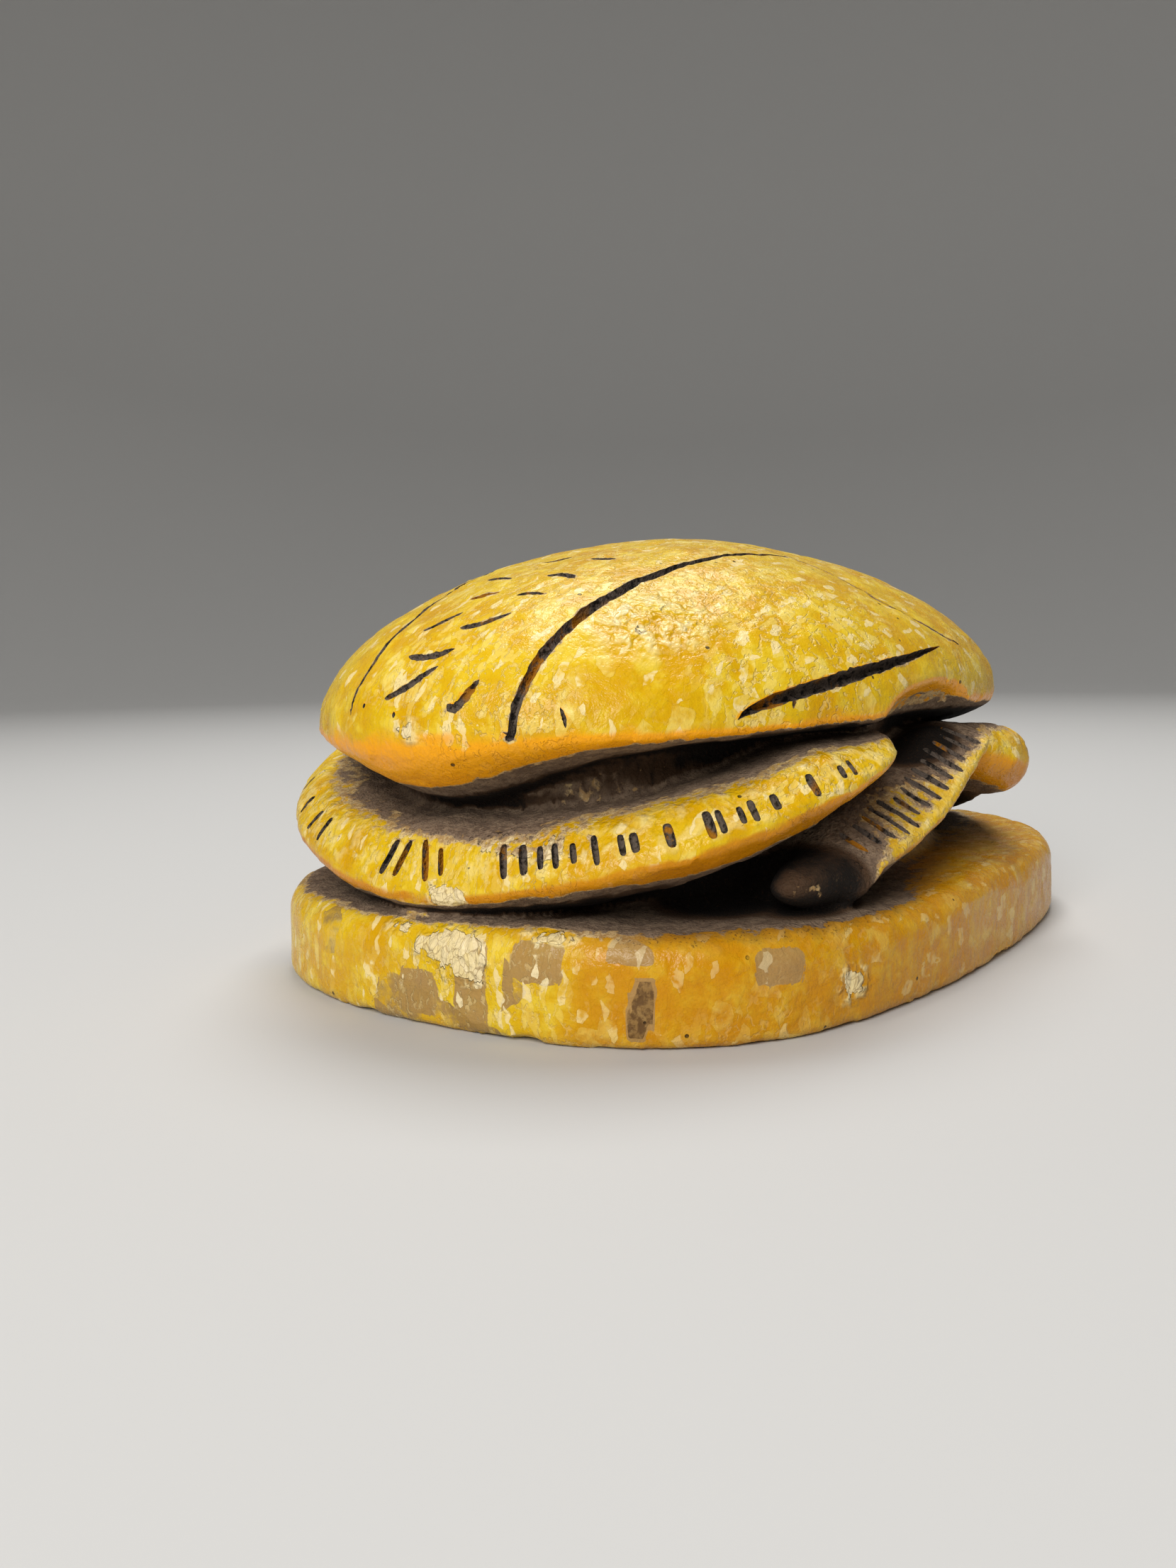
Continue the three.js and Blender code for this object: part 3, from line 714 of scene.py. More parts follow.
class Signal:
    """One output of a tree's nodes. Arithmetic on signals adds the nodes that work it out."""

    def __init__(self, socket):
        self.socket = socket

    def node(self, kind, settings=None, sockets=None, output=0):
        """Adds a node of this kind, with its settings and its sockets' values or links."""
        tree = self.socket.id_data
        made = tree.nodes.new(kind)
        for name, value in (settings or {}).items():
            setattr(made, name, value)
        for name, value in (sockets or {}).items():
            if isinstance(value, Signal):
                tree.links.new(value.socket, made.inputs[name])
            else:
                made.inputs[name].default_value = value
        return Signal(made.outputs[output])

    def math(self, operation, *terms):
        return self.node("ShaderNodeMath", {"operation": operation}, dict(enumerate(terms)))

    def __add__(self, other):
        return self.math("ADD", self, other)

    def __sub__(self, other):
        return self.math("SUBTRACT", self, other)

    def __rsub__(self, other):
        return self.math("SUBTRACT", other, self)

    def __mul__(self, other):
        return self.math("MULTIPLY", self, other)

    def __truediv__(self, other):
        return self.math("DIVIDE", self, other)

    def __neg__(self):
        return self.math("MULTIPLY", self, -1.0)

    __radd__ = __add__
    __rmul__ = __mul__

    def larger(self, other):
        return self.math("MAXIMUM", self, other)

    def rise(self, start, end):
        """0 below start, 1 above end and a smooth step between them."""
        settings = {"interpolation_type": "SMOOTHSTEP"}
        return self.node("ShaderNodeMapRange", settings, {"Value": self, "From Min": start, "From Max": end})

    def colour(self, low, high):
        """The colour low where the signal is 0, high where it is 1."""
        return self.node("ShaderNodeMix", {"data_type": "RGBA"}, {0: self, 6: low, 7: high}, output=2)

    def shifted(self, other, amount):
        """This vector moved along another one."""
        settings = {"operation": "MULTIPLY_ADD"}
        return self.node("ShaderNodeVectorMath", settings, {0: other, 1: (amount, amount, amount), 2: self})

    def turned(self, angles, stretch=(1, 1, 1)):
        """This vector turned and stretched."""
        return self.node("ShaderNodeMapping", {}, {"Vector": self, "Rotation": angles, "Scale": stretch})

    def cloud(self, size, detail=3.0, roughness=0.55, output=0):
        """Soft noise with marks of about this size."""
        sockets = {"Vector": self, "Scale": 1 / size, "Detail": detail, "Roughness": roughness}
        return self.node("ShaderNodeTexNoise", {}, sockets, output)

    def cells(self, size):
        """Angular cells of about this size: the distance from the cell's middle and a chance number."""
        distance = self.node("ShaderNodeTexVoronoi", {}, {"Vector": self, "Scale": 1 / size})
        colours = Signal(distance.socket.node.outputs["Color"])
        return distance, colours.node("ShaderNodeSeparateColor", {}, {"Color": colours})

    def cell_edge(self, size):
        """The distance from the edge of the angular cell, in cells."""
        settings = {"feature": "DISTANCE_TO_EDGE"}
        return self.node("ShaderNodeTexVoronoi", settings, {"Vector": self, "Scale": 1 / size})


# ---- carved lines and hatching -----------------------------------------------------------------------

Line = namedtuple("Line", "points outward halves depths")

SEAM_TAIL = -35
SEAM_RUN = 29.8
GROOVE_TAIL = -24.6
GROOVE_RUN = 23
GROOVE_HEIGHT = 19.1
GROOVE_RISE = 4.1
THORAX_PLACE = -4.6
THORAX_REACH = 21.2
THORAX_TICK = 17
STROKE_SEED = 23
UNDERSIDE_SEED = 31


def laid_on_body(points):
    """The points moved straight onto the body's surface, and the way out of it at each."""
    for _ in range(3):
        outward = slopes(carving_distance, points, 0.1)
        outward /= np.linalg.norm(outward, axis=1)[:, None]
        points = points - carving_distance(points)[:, None] * outward
    return points, outward


def oval_point(oval, share, angle, side, height):
    """The point at a share of the oval's size, turned by an angle from the tail towards one side."""
    n = oval.exponent
    reach = share / (abs(math.cos(angle)) ** n + abs(math.sin(angle)) ** n) ** (1 / n)
    x = oval.centre - oval.half_length * reach * math.cos(angle)
    return np.array((x, side * oval.half_width * reach * math.sin(angle), height))


def crown_above(x, y):
    along = (x - BACK.centre) / BACK.half_length
    plan, _ = oval_share(BACK, x, y)
    climb = np.clip(1 - plan**CROWN_EXPONENT, 0, None) ** (1 / CROWN_EXPONENT)
    return np.column_stack((x, y, rim_height(along) + crown_height(along) * climb))


def crown_beside(x, z, side):
    along = (x - BACK.centre) / BACK.half_length
    climb = (z - rim_height(along)) / crown_height(along)
    plan = (1 - np.abs(climb) ** CROWN_EXPONENT) ** (1 / CROWN_EXPONENT)
    across = np.clip(plan**BACK.exponent - np.abs(along) ** BACK.exponent, 0, None) ** (1 / BACK.exponent)
    return np.column_stack((x, side * BACK.half_width * across, z))


def cut_line(points, width, depth, taper):
    """A graver's cut along points near the surface: width and depth where taper is 1."""
    laid, outward = laid_on_body(points)
    taper = np.maximum(taper, 0.04)
    return Line(laid, outward, width / 2 * taper, depth * taper**0.7)


def seam_line(tail_offset, head_offset, width, depth):
    """A seam of the wing cases, from the tail up to the thorax line."""
    t = np.linspace(0, 1, 70)
    x = SEAM_TAIL + SEAM_RUN * t**1.3
    points = crown_above(x, tail_offset + (head_offset - tail_offset) * t**1.6)
    taper = np.sin(math.pi * t**0.75) ** 0.55 * (1 - 0.35 * t) + 0.3 * t
    return cut_line(points, width, depth, taper)


def side_groove_line(side):
    """The groove that rises along one side of the back over its rim."""
    t = np.linspace(0, 1, 60)
    points = crown_beside(GROOVE_TAIL + GROOVE_RUN * t, GROOVE_HEIGHT + GROOVE_RISE * t**0.62, side)
    return cut_line(points, width=0.95, depth=1.1, taper=np.sin(math.pi * t**0.6) ** 0.75)


def thorax_line():
    """The fine line between thorax and wing cases, with a deeper tick at each side."""
    t = np.linspace(0, 1, 90)
    across = 2 * t - 1
    y = THORAX_REACH * np.sin(math.pi / 2 * across)
    x = THORAX_PLACE + 1.2 * across**2 + 6.4 * ease(np.abs(across), 0.6, 1)
    ticks = np.exp(-(((np.abs(y) - THORAX_TICK) / 1.2) ** 2))
    taper = 0.35 + 0.3 * np.sin(math.pi * t) ** 0.4 + 0.6 * ticks
    return cut_line(crown_above(x, y), width=0.5, depth=0.3, taper=taper)


def underside_below(x, y):
    return np.column_stack((x, y, np.zeros(len(x))))


def stroke_rows(rows, lay, longest, depth, seed):
    """Rows of short plain strokes, each row from one y to another, laid on a face."""
    rng = np.random.default_rng(seed)
    strokes = []
    for x, left, right in rows:
        y = left
        while y > right + 1:
            length = min(rng.uniform(0.35, 1) * longest, y - right)
            t = np.linspace(0, 1, 18)
            slant = rng.uniform(-0.35, 0.9)
            bow = rng.uniform(-0.5, 0.5)
            row = x + slant * (t - 0.5) * length + bow * np.sin(math.pi * t)
            points = lay(np.clip(row, -35.2, None), y - length * t)
            taper = np.sin(math.pi * t) ** 0.4 * rng.uniform(0.75, 1, len(t))
            strokes.append(cut_line(points, rng.uniform(0.55, 0.85), depth, taper))
            y -= length + rng.uniform(1.1, 2.6)
    return strokes


def underside_border():
    """Four shallow arcs that follow the plate's edge on its flat underside."""
    t = np.linspace(0, 1, 40)
    arcs = []
    for quarter in range(4):
        angles = (quarter + 0.03 + 0.94 * t) * math.pi / 2
        arc = np.array([oval_point(PLATE, BORDER_SHARE, angle, 1, 0) for angle in angles])
        arcs.append(cut_line(arc, width=0.7, depth=0.3, taper=np.sin(math.pi * t) ** 0.2))
    return arcs


def hair_marks():
    """A few fine slips of the graver low on the back, and two pinholes above the tail."""
    t = np.linspace(0, 1, 12)
    taper = np.sin(math.pi * t) ** 0.5
    marks = []
    for x, z, run, rise, width in HAIR_MARKS:
        marks.append(cut_line(crown_beside(x + run * t, z + rise * t, -1), width, depth=0.25, taper=taper))
    for x, y in PINHOLES:
        points = crown_above(np.full(12, x), y + 0.25 * t)
        marks.append(cut_line(points, width=0.38, depth=0.5, taper=taper))
    return marks


def carved_lines():
    """Seams, side grooves, the thorax line, strokes on the back, fine marks, and lines on the underside."""
    right_seam = seam_line(tail_offset=-7.9, head_offset=-11, width=0.85, depth=0.7)
    left_seam = seam_line(tail_offset=4.7, head_offset=9, width=0.5, depth=0.4)
    sides = [side_groove_line(-1), side_groove_line(1)]
    strokes = stroke_rows(STROKE_ROWS, crown_above, longest=4.2, depth=0.42, seed=STROKE_SEED)
    rows = stroke_rows(UNDERSIDE_ROWS, underside_below, longest=5.5, depth=0.35, seed=UNDERSIDE_SEED)
    return [right_seam, left_seam], sides, [thorax_line()], strokes, hair_marks(), underside_border() + rows


def tube(line, rng, sides=10):
    """A closed, slightly ragged tube along a line: the shape of what the graver takes away."""
    tangents = np.gradient(line.points, axis=0)
    across = np.cross(tangents, line.outward)
    across /= np.linalg.norm(across, axis=1)[:, None]
    angles = np.arange(sides) * 2 * math.pi / sides
    ring = across[:, None] * np.cos(angles)[:, None] * line.halves[:, None, None]
    ring = ring + line.outward[:, None] * np.sin(angles)[:, None] * line.depths[:, None, None]
    ragged = 1 + rng.normal(0, 0.1, (len(line.points), sides, 1))
    skin = (line.points[:, None] + ring * ragged).reshape(-1, 3)
    vertices = np.vstack((skin, line.points[:1], line.points[-1:]))
    first, last = len(skin), len(skin) + 1
    start = len(skin) - sides
    faces = []
    for j in range(sides):
        k = (j + 1) % sides
        faces.append((first, j, k))
        faces.append((last, start + k, start + j))
        for i in range(0, start, sides):
            faces.append((i + j, i + sides + k, i + k))
            faces.append((i + j, i + sides + j, i + sides + k))
    return vertices, np.array(faces)


def tubes_object(name, lines, rng):
    vertices = []
    faces = []
    count = 0
    for line in lines:
        more, skin = tube(line, rng)
        vertices.append(more)
        faces.append(skin + count)
        count += len(more)
    return mesh_object(name, np.vstack(vertices), np.vstack(faces))


Mark = namedtuple("Mark", "middle along outward length")


def flange_mark(side, angle):
    reach = angle / FLANGE_SPAN
    foot = oval_point(PLATE, FLANGE_SHARE, angle, side, flange_crest(reach) + 0.6)
    top = oval_point(PLATE, FLANGE_TOP_SHARE, angle, side, flange_top(reach) - 0.1)
    onward = oval_point(PLATE, 1, angle + 0.01, side, 0) - oval_point(PLATE, 1, angle, side, 0)
    outward = side * np.cross(onward, top - foot) * -1
    length = np.linalg.norm(top - foot)
    lean = onward * (HATCH_LEAN * length / np.linalg.norm(onward))
    return Mark((foot + top) / 2, top - foot - lean, outward, 0.8 * length)


def middle_leg_mark(side, x):
    rise = middle_leg_lift(x) - MIDDLE_LEG_EDGE_LIFT
    depth = 0.47 * MIDDLE_LEG_BREADTH
    y = oval_half_width(PLATE, x) * MIDDLE_LEG_SHARE - depth
    z = middle_leg_crest(x) + MIDDLE_LEG_EDGE_LIFT + rise * depth / MIDDLE_LEG_BREADTH
    along = np.array((0, side * MIDDLE_LEG_BREADTH, -rise))
    outward = np.array((0, side * rise, MIDDLE_LEG_BREADTH))
    return Mark(np.array((x, side * y, z)), along, outward, MIDDLE_LEG_HATCH_LENGTH)


def hatch_marks():
    """Where the hatch notches lie: on each side the flange's, then the middle leg's."""
    marks = []
    for side, angles in ((-1, RIGHT_HATCHES), (1, LEFT_HATCHES)):
        marks += [flange_mark(side, math.radians(angle)) for angle in angles]
        places = np.linspace(MIDDLE_LEG_HATCH_FROM, MIDDLE_LEG_HATCH_TO, MIDDLE_LEG_HATCHES)
        marks += [middle_leg_mark(side, x) for x in places]
    return marks


def hatch_points(name, marks):
    """A cloud of points that carry each notch's direction, way out and length."""
    places = np.array([mark.middle for mark in marks])
    cloud = mesh_object(name, places - wander(places), np.empty((0, 3), int))
    for label in ("along", "outward"):
        layer = cloud.data.attributes.new(label, "FLOAT_VECTOR", "POINT")
        layer.data.foreach_set("vector", np.array([getattr(mark, label) for mark in marks]).ravel())
    layer = cloud.data.attributes.new("length", "FLOAT", "POINT")
    layer.data.foreach_set("value", np.array([mark.length * MM for mark in marks]))
    return cloud


def notch_tree():
    """Nodes that set one blunt, rounded cutter on each point, turned and sized by what the point carries."""
    tree = bpy.data.node_groups.new("Notch Cutters", "GeometryNodeTree")
    asked = (
        ("Points", "NodeSocketGeometry"),
        ("Notch Width", "NodeSocketFloat"),
        ("Notch Depth", "NodeSocketFloat"),
        ("Seed", "NodeSocketInt"),
        ("Finish", "NodeSocketMaterial"),
    )
    named = [tree.interface.new_socket(name, in_out="INPUT", socket_type=kind) for name, kind in asked]
    tree.interface.new_socket("Cutters", in_out="OUTPUT", socket_type="NodeSocketGeometry")
    start = tree.nodes.new("NodeGroupInput")
    end = tree.nodes.new("NodeGroupOutput")
    points, width, depth, seed, finish = (Signal(start.outputs[name]) for name, _ in asked)

    def carried(label, kind):
        settings = {"data_type": kind}
        return points.node("GeometryNodeInputNamedAttribute", settings, {"Name": label}, "Attribute")

    def chance(low, high, shift):
        sockets = {2: low, 3: high, "Seed": seed + shift}
        return points.node("FunctionNodeRandomValue", {"data_type": "FLOAT"}, sockets, 1)

    threes = {f"Vertices {axis}": 3 for axis in "XYZ"}
    block = points.node("GeometryNodeMeshCube", {}, {"Size": (2, 2, 2), **threes})
    lens = block.node("GeometryNodeSubdivisionSurface", {}, {"Mesh": block, "Level": 1})
    axes = {"primary_axis": "Z", "secondary_axis": "X"}
    outward = carried("outward", "FLOAT_VECTOR")
    along = carried("along", "FLOAT_VECTOR")
    ways = {"Primary Axis": outward, "Secondary Axis": along}
    turn = points.node("FunctionNodeAxesToRotation", axes, ways)
    sizes = {
        "X": carried("length", "FLOAT") * chance(0.6, 1.05, 1) * 0.5,
        "Y": width * chance(0.75, 1.1, 2) * 0.5,
        "Z": depth * chance(0.8, 1.2, 3),
    }
    size = points.node("ShaderNodeCombineXYZ", {}, sizes)
    placed = {"Points": points, "Instance": lens, "Rotation": turn, "Scale": size}
    cutters = points.node("GeometryNodeInstanceOnPoints", {}, placed)
    cutters = cutters.node("GeometryNodeRealizeInstances", {}, {"Geometry": cutters})
    cutters = cutters.node("GeometryNodeSetMaterial", {}, {"Geometry": cutters, "Material": finish})
    tree.links.new(cutters.socket, end.inputs["Cutters"])
    return tree, [socket.identifier for socket in named[1:]]


# ---- what each spot of the surface carries -----------------------------------------------------------

SHELTER_STEP = 0.6
SHELTER_REACH = 8.0
SHELTER_ROOM = 16
SHELTER_LOOKS = 40
WEAR_DEPTH = 1.0
DIRT_REACH = 0.8
ROUND = 2
BOXY = 8


def set_point_layer(mesh, name, values):
    layer = mesh.attributes.new(name, "FLOAT", "POINT")
    layer.data.foreach_set("value", np.asarray(values, np.float32))


def recess_depth(vertices, normals, field):
    """How much of the open air round each spot the stone closes off: 0 in the open, 1 deep in a recess."""
    values, low = field_on_grid(field, SHELTER_STEP)
    solid = np.pad(values < 0, SHELTER_ROOM)
    places = (vertices - low) / SHELTER_STEP + (SHELTER_ROOM + 0.5)
    rank = np.arange(SHELTER_LOOKS) + 0.5
    height = 1 - 2 * rank / SHELTER_LOOKS
    turn = rank * math.pi * (3 - math.sqrt(5))
    flat = np.sqrt(1 - height**2)
    closed = np.zeros(len(vertices))
    total = np.zeros(len(vertices))
    for direction in np.column_stack((flat * np.cos(turn), flat * np.sin(turn), height)):
        facing = np.clip(normals @ direction, 0, None)
        reach = np.zeros(len(vertices))
        for t in np.arange(1.0, SHELTER_REACH, SHELTER_STEP)[::-1]:
            cells = (places + direction * t / SHELTER_STEP).astype(int)
            reach[solid[tuple(cells.T)]] = 1 - 0.6 * t / SHELTER_REACH
        closed += facing * reach
        total += facing
    return closed / np.maximum(total, 1e-6)


def edge_wear(vertices, normals, field):
    """How exposed each spot is to rubbing: 0 on flat ground, 1 on a sharp ridge."""
    within = field(vertices - normals * WEAR_DEPTH)
    return np.clip((within + WEAR_DEPTH) / 0.7, 0, 1)


def painted_glow_sides(vertices, normals):
    """1 on the down-turned lower edges of the back and of the flange, 0 elsewhere: where the stone gets a
    painted orange glow that stands in for light bounced up and carried through it.
    """
    down = ease(-normals[:, 2], -0.4, 0.4)
    high = ease(vertices[:, 2], 6.5, 8.5)
    return down * high


def nearness(vertices, lines, reach):
    """How near each spot lies to a carved line, from 0 at the given reach to 1 at the line."""
    result = np.zeros(len(vertices))
    for line in lines:
        for point, radius in zip(line.points[::2], line.halves[::2]):
            near = np.flatnonzero(np.all(np.abs(vertices - point) < reach + radius, axis=1))
            gap = np.linalg.norm(vertices[near] - point, axis=1) - radius
            result[near] = np.maximum(result[near], 1 - np.clip(gap / reach, 0, 1))
    return result


def patch_strength(vertices, patches, power):
    """How strongly each spot lies in one of the patches, whose outline is round or boxy by the power."""
    result = np.zeros(len(vertices))
    for centre, radii, strength in patches:
        share = np.sum(np.abs((vertices - centre) / radii) ** power, axis=1) ** (1 / power)
        result = np.maximum(result, strength * np.clip(1.6 - share, 0, 1))
    return result


def dirt_and_gap_shade(closed, upward):
    """Dirt lies wherever the stone closes off the air, most on upward faces. On undersides the value rises
    only well inside a recess, and that rise is painted shade of the shadowed gaps.
    """
    open_side = ease(upward, -0.6, 0.1)
    inside = ease(closed, 0.22, 0.36)
    # The second term is painted shade: it darkens undersides deep in a recess, where the gaps lie in shadow.
    return closed * (0.35 + 0.75 * open_side) + (1 - open_side) * 0.6 * inside


def painted_recess_shade(closed, upward, soiled_and_shaded):
    """Painted shade over the settled patina: none on the grey dust of upward faces, rising to near black on
    walls, in the deepest gaps and in the strongest patches, which lie in shadow.
    """
    wall = 1 - ease(upward, 0, 0.8)
    return np.clip(ease(closed + 0.35 * wall, 0.75, 1) + ease(soiled_and_shaded, 0.75, 1.1), 0, 1)


def flange_dust(vertices, upward, closed):
    """Pale dust on the open upper faces of the flange and legs."""
    height = vertices[:, 2]
    return 0.2 * ease(upward, 0, 0.5) * ease(height, 7.5, 9) * (1 - ease(height, 17, 18)) * (closed < 0.3)


# ---- the finish --------------------------------------------------------------------------------------

AMBER = (0.72, 0.465, 0.006, 1)
AMBER_PALE = (0.79, 0.565, 0.045, 1)
AMBER_DEEP = (0.64, 0.335, 0.001, 1)
# The next two are painted glow: brighter, deeper oranges for down-turned edges, standing in for light bounced
# up and carried through the stone.
PAINTED_LIP_GLOW = (0.86, 0.345, 0.0005, 1)
PAINTED_FLANGE_GLOW = (0.60, 0.225, 0.0005, 1)
FLANK_AMBER = (0.56, 0.235, 0.001, 1)
SHARD_PALE = (0.86, 0.67, 0.17, 1)
SHARD_CREAM = (0.84, 0.66, 0.30, 1)
SHARD_BARE = (0.82, 0.67, 0.38, 1)
CHIP_TAN = (0.27, 0.150, 0.045, 1)
CHIP_TAUPE = (0.37, 0.215, 0.075, 1)
CHIP_DARK = (0.13, 0.065, 0.02, 1)
STAIN = (0.30, 0.135, 0.012, 1)
DUST_TAN = (0.36, 0.22, 0.095, 1)
DUST_PALE = (0.58, 0.42, 0.21, 1)
PATINA_GREY = (0.13, 0.085, 0.055, 1)
PATINA_PALE = (0.24, 0.165, 0.105, 1)
# A brown that is painted shade over the patina and also the colour of the fine brown specks, and a near black
# that is painted shade only.
SHADE_AND_SPECK_BROWN = (0.045, 0.020, 0.007, 1)
PAINTED_SHADE_BLACK = (0.008, 0.005, 0.003, 1)
INK = (0.012, 0.009, 0.007, 1)
INK_GREY = (0.105, 0.080, 0.062, 1)
INK_RUST = (0.34, 0.13, 0.003, 1)


def layer_signal(first, name):
    return first.node("ShaderNodeAttribute", {"attribute_name": name}, {}, output=2)


def shards(spot, size, angles, stretch, share):
    """Angular shards of stone: where they are, and the chance numbers of all cells."""
    _, chance = spot.turned(angles, stretch).cells(size)
    return chance.rise(1 - share, 1 - share + 0.01), chance


def stone_finish(finish):
    """Aged amber-yellow cast stone with angular chips, grey patina and painted shade where the carving is
    deep, a painted glow on its low edges and a painted highlight high on the back.
    """
    material = bpy.data.materials.new("Aged Amber Stone")
    material.use_nodes = True
    tree = material.node_tree
    tree.nodes.clear()
    output = tree.nodes.new("ShaderNodeOutputMaterial")
    skin = tree.nodes.new("ShaderNodeBsdfPrincipled")
    tree.links.new(skin.outputs["BSDF"], output.inputs["Surface"])
    place = Signal(tree.nodes.new("ShaderNodeTexCoord").outputs["Object"])
    scale = (1 / MM, 1 / MM, 1 / MM)
    spot = place.node("ShaderNodeVectorMath", {"operation": "MULTIPLY"}, {0: place, 1: scale})
    height = spot.node("ShaderNodeSeparateXYZ", {}, {"Vector": spot}, output=2)
    across = Signal(height.socket.node.outputs["Y"])
    layers = ("recess", "painted_shade", "soiled_and_shaded", "wear", "cut", "under", "bare_and_highlit", "taupe")
    recess, painted_shade, soiled_and_shaded, wear, cut, under, bare_and_highlit, taupe = (layer_signal(spot, name) for name in layers)
    chip = finish.chip_size / MM

    # Soft noises of falling size, and vectors that bend and tear the patterns.
    drift = spot.cloud(3.0, 2.0, 0.6, output=1)
    tears = spot.cloud(0.8, 2.0, 0.6, output=1)
    bent = spot.shifted(drift, 1.3)
    torn = spot.shifted(drift, 0.5).shifted(tears, 0.45)
    zones = spot.cloud(11.0, 1.0)
    broad = spot.cloud(6.0, 2.0)
    middling = bent.cloud(2.2, 4.0, 0.65)
    blotch = bent.cloud(1.1, 2.0, 0.6)
    fine = spot.cloud(0.5, 3.0, 0.65)
    grain = spot.cloud(0.2, 1.0, 0.6)
    plate = height.rise(8.0, 6.4)
    flank = across.rise(-9.0, -14.0) * plate

    # The amber body, with its shards, glints and darker chips.
    body = (broad * 0.5 + middling * 0.5).rise(0.36, 0.6)
    stone = body.colour(finish.amber_deep[:], finish.amber[:])
    stone = (middling.rise(0.5, 0.66) * 0.7).colour(stone, finish.amber_pale[:])
    stone = (flank * (1.6 - middling - blotch * 0.5)).colour(stone, FLANK_AMBER)
    small, small_chance = shards(torn, chip * 0.5, (0.4, 0.9, 0.2), (1, 2.4, 1), 0.24)
    medium, medium_chance = shards(torn, chip * 0.9, (0.2, 0.5, 0.9), (1, 1.6, 1), 0.09)
    large, large_chance = shards(bent, chip * 2.1, (0.7, 0.1, 0.4), (1.2, 1, 0.8), 0.4)
    patchy = zones.rise(0.3, 0.6) * (1 - flank * 0.55)
    stone = (small * patchy * 0.45).colour(stone, SHARD_PALE)
    stone = (medium * blotch.rise(0.3, 0.65) * 0.6 * (1 - flank * 0.6)).colour(stone, SHARD_PALE)
    glints = small_chance.rise(0.925, 0.93) * blotch.rise(0.38, 0.5) * (1 - flank * 0.6)
    stone = (glints * 0.85).colour(stone, SHARD_CREAM)
    chip_tone = (fine * 0.5 + large_chance * 2.0 - 1.2).rise(0.2, 0.9)
    chip_zones = (zones + middling * 0.4 + medium_chance * 0.1).rise(0.66, 0.76)
    plate_chip = large * plate * chip_zones * (1 - flank)
    placed_chip = (taupe + (middling - 0.5) * 0.5 + (small_chance - 0.5) * 0.15).rise(0.5, 0.53)
    plate_chip = plate_chip.larger(placed_chip)
    chip_colour = chip_tone.colour(CHIP_TAUPE, CHIP_TAN)
    stone = (plate_chip * (0.75 + blotch * 0.3)).colour(stone, chip_colour)
    stone = (plate_chip * glints).colour(stone, SHARD_BARE)
    stone = taupe.rise(1.32, 1.36).colour(stone, fine.rise(0.4, 0.6).colour(CHIP_DARK, CHIP_TAN))

    # Slivers between the shards, the painted glow of low edges (orange that stands in for light bounced up and
    # carried through the stone) and the paler tone of worn ridges.
    cracks = bent.shifted(drift, 1.6).turned((0.3, 1.2, 0.5), (1, 1.8, 1)).cell_edge(chip * 0.4)
    threads = torn.turned((0.5, 0.2, 1.1), (1, 1.9, 1)).cloud(1.3, 2.0, 0.5) - 0.5
    slivers = (1 - threads.larger(-threads).rise(0.015, 0.06)) * fine.rise(0.47, 0.54) * patchy
    stone = (slivers * 0.35).colour(stone, SHARD_CREAM)
    # Painted glow: where the lower edges turn down, the colour turns to a brighter orange that stands in for
    # bounced light.
    low_edge = (under + (middling - 0.5) * 0.7).rise(0.35, 0.85)
    glow = height.rise(13.0, 15.5).colour(PAINTED_FLANGE_GLOW, PAINTED_LIP_GLOW)
    stone = (low_edge * (0.7 + broad * 0.5)).colour(stone, glow)
    stone = (wear.rise(0.25, 0.9) * 0.35).colour(stone, SHARD_PALE)

    # Bare, flaked patches, one of them also a painted highlight high on the back, and pinholes.
    crumpled_and_highlit = bare_and_highlit.rise(0.05, 0.35)
    stone = (crumpled_and_highlit * blotch.rise(0.48, 0.62) * 0.7).colour(stone, SHARD_CREAM)
    bare_here = (bare_and_highlit + (middling - 0.5) * 1.1 + (small_chance - 0.5) * 0.3).rise(0.5, 0.55)
    flake = small_chance.colour(SHARD_CREAM, SHARD_BARE)
    flake = ((1 - cracks.rise(0.0, 0.07)) * 0.6).colour(flake, CHIP_TAN)
    stone = bare_here.colour(stone, flake)
    middle, pin_chance = spot.cells(1.5)
    pinholes = (1 - middle.rise(0.06, 0.1)) * pin_chance.rise(0.84, 0.85)
    stone = (pinholes * 0.85).colour(stone, INK)

    # Dirt and painted shade: a stain at its edge, then tan crust, then grey patina on ledges, which painted
    # shade turns dark brown and near black on walls and in the gaps.
    ragged = (middling - 0.5) * 0.7 + (blotch - 0.5) * 0.6 + (fine - 0.5) * 0.45
    dirt_and_shade = recess * finish.grime_and_shade + soiled_and_shaded * 0.5 + ragged * 0.6
    stone = (dirt_and_shade.rise(0.2, 0.6) * 0.75).colour(stone, STAIN)
    crust = (fine * 0.6 + grain * 0.4).rise(0.44, 0.54).colour(DUST_TAN, DUST_PALE)
    stone = (dirt_and_shade.rise(0.33, 0.38) * (1 - plate * across.rise(-12.0, -16.0)) * 0.9).colour(stone, crust)
    deep = (dirt_and_shade - flank * 0.12 + (grain - 0.5) * 0.1).rise(0.44, 0.52)
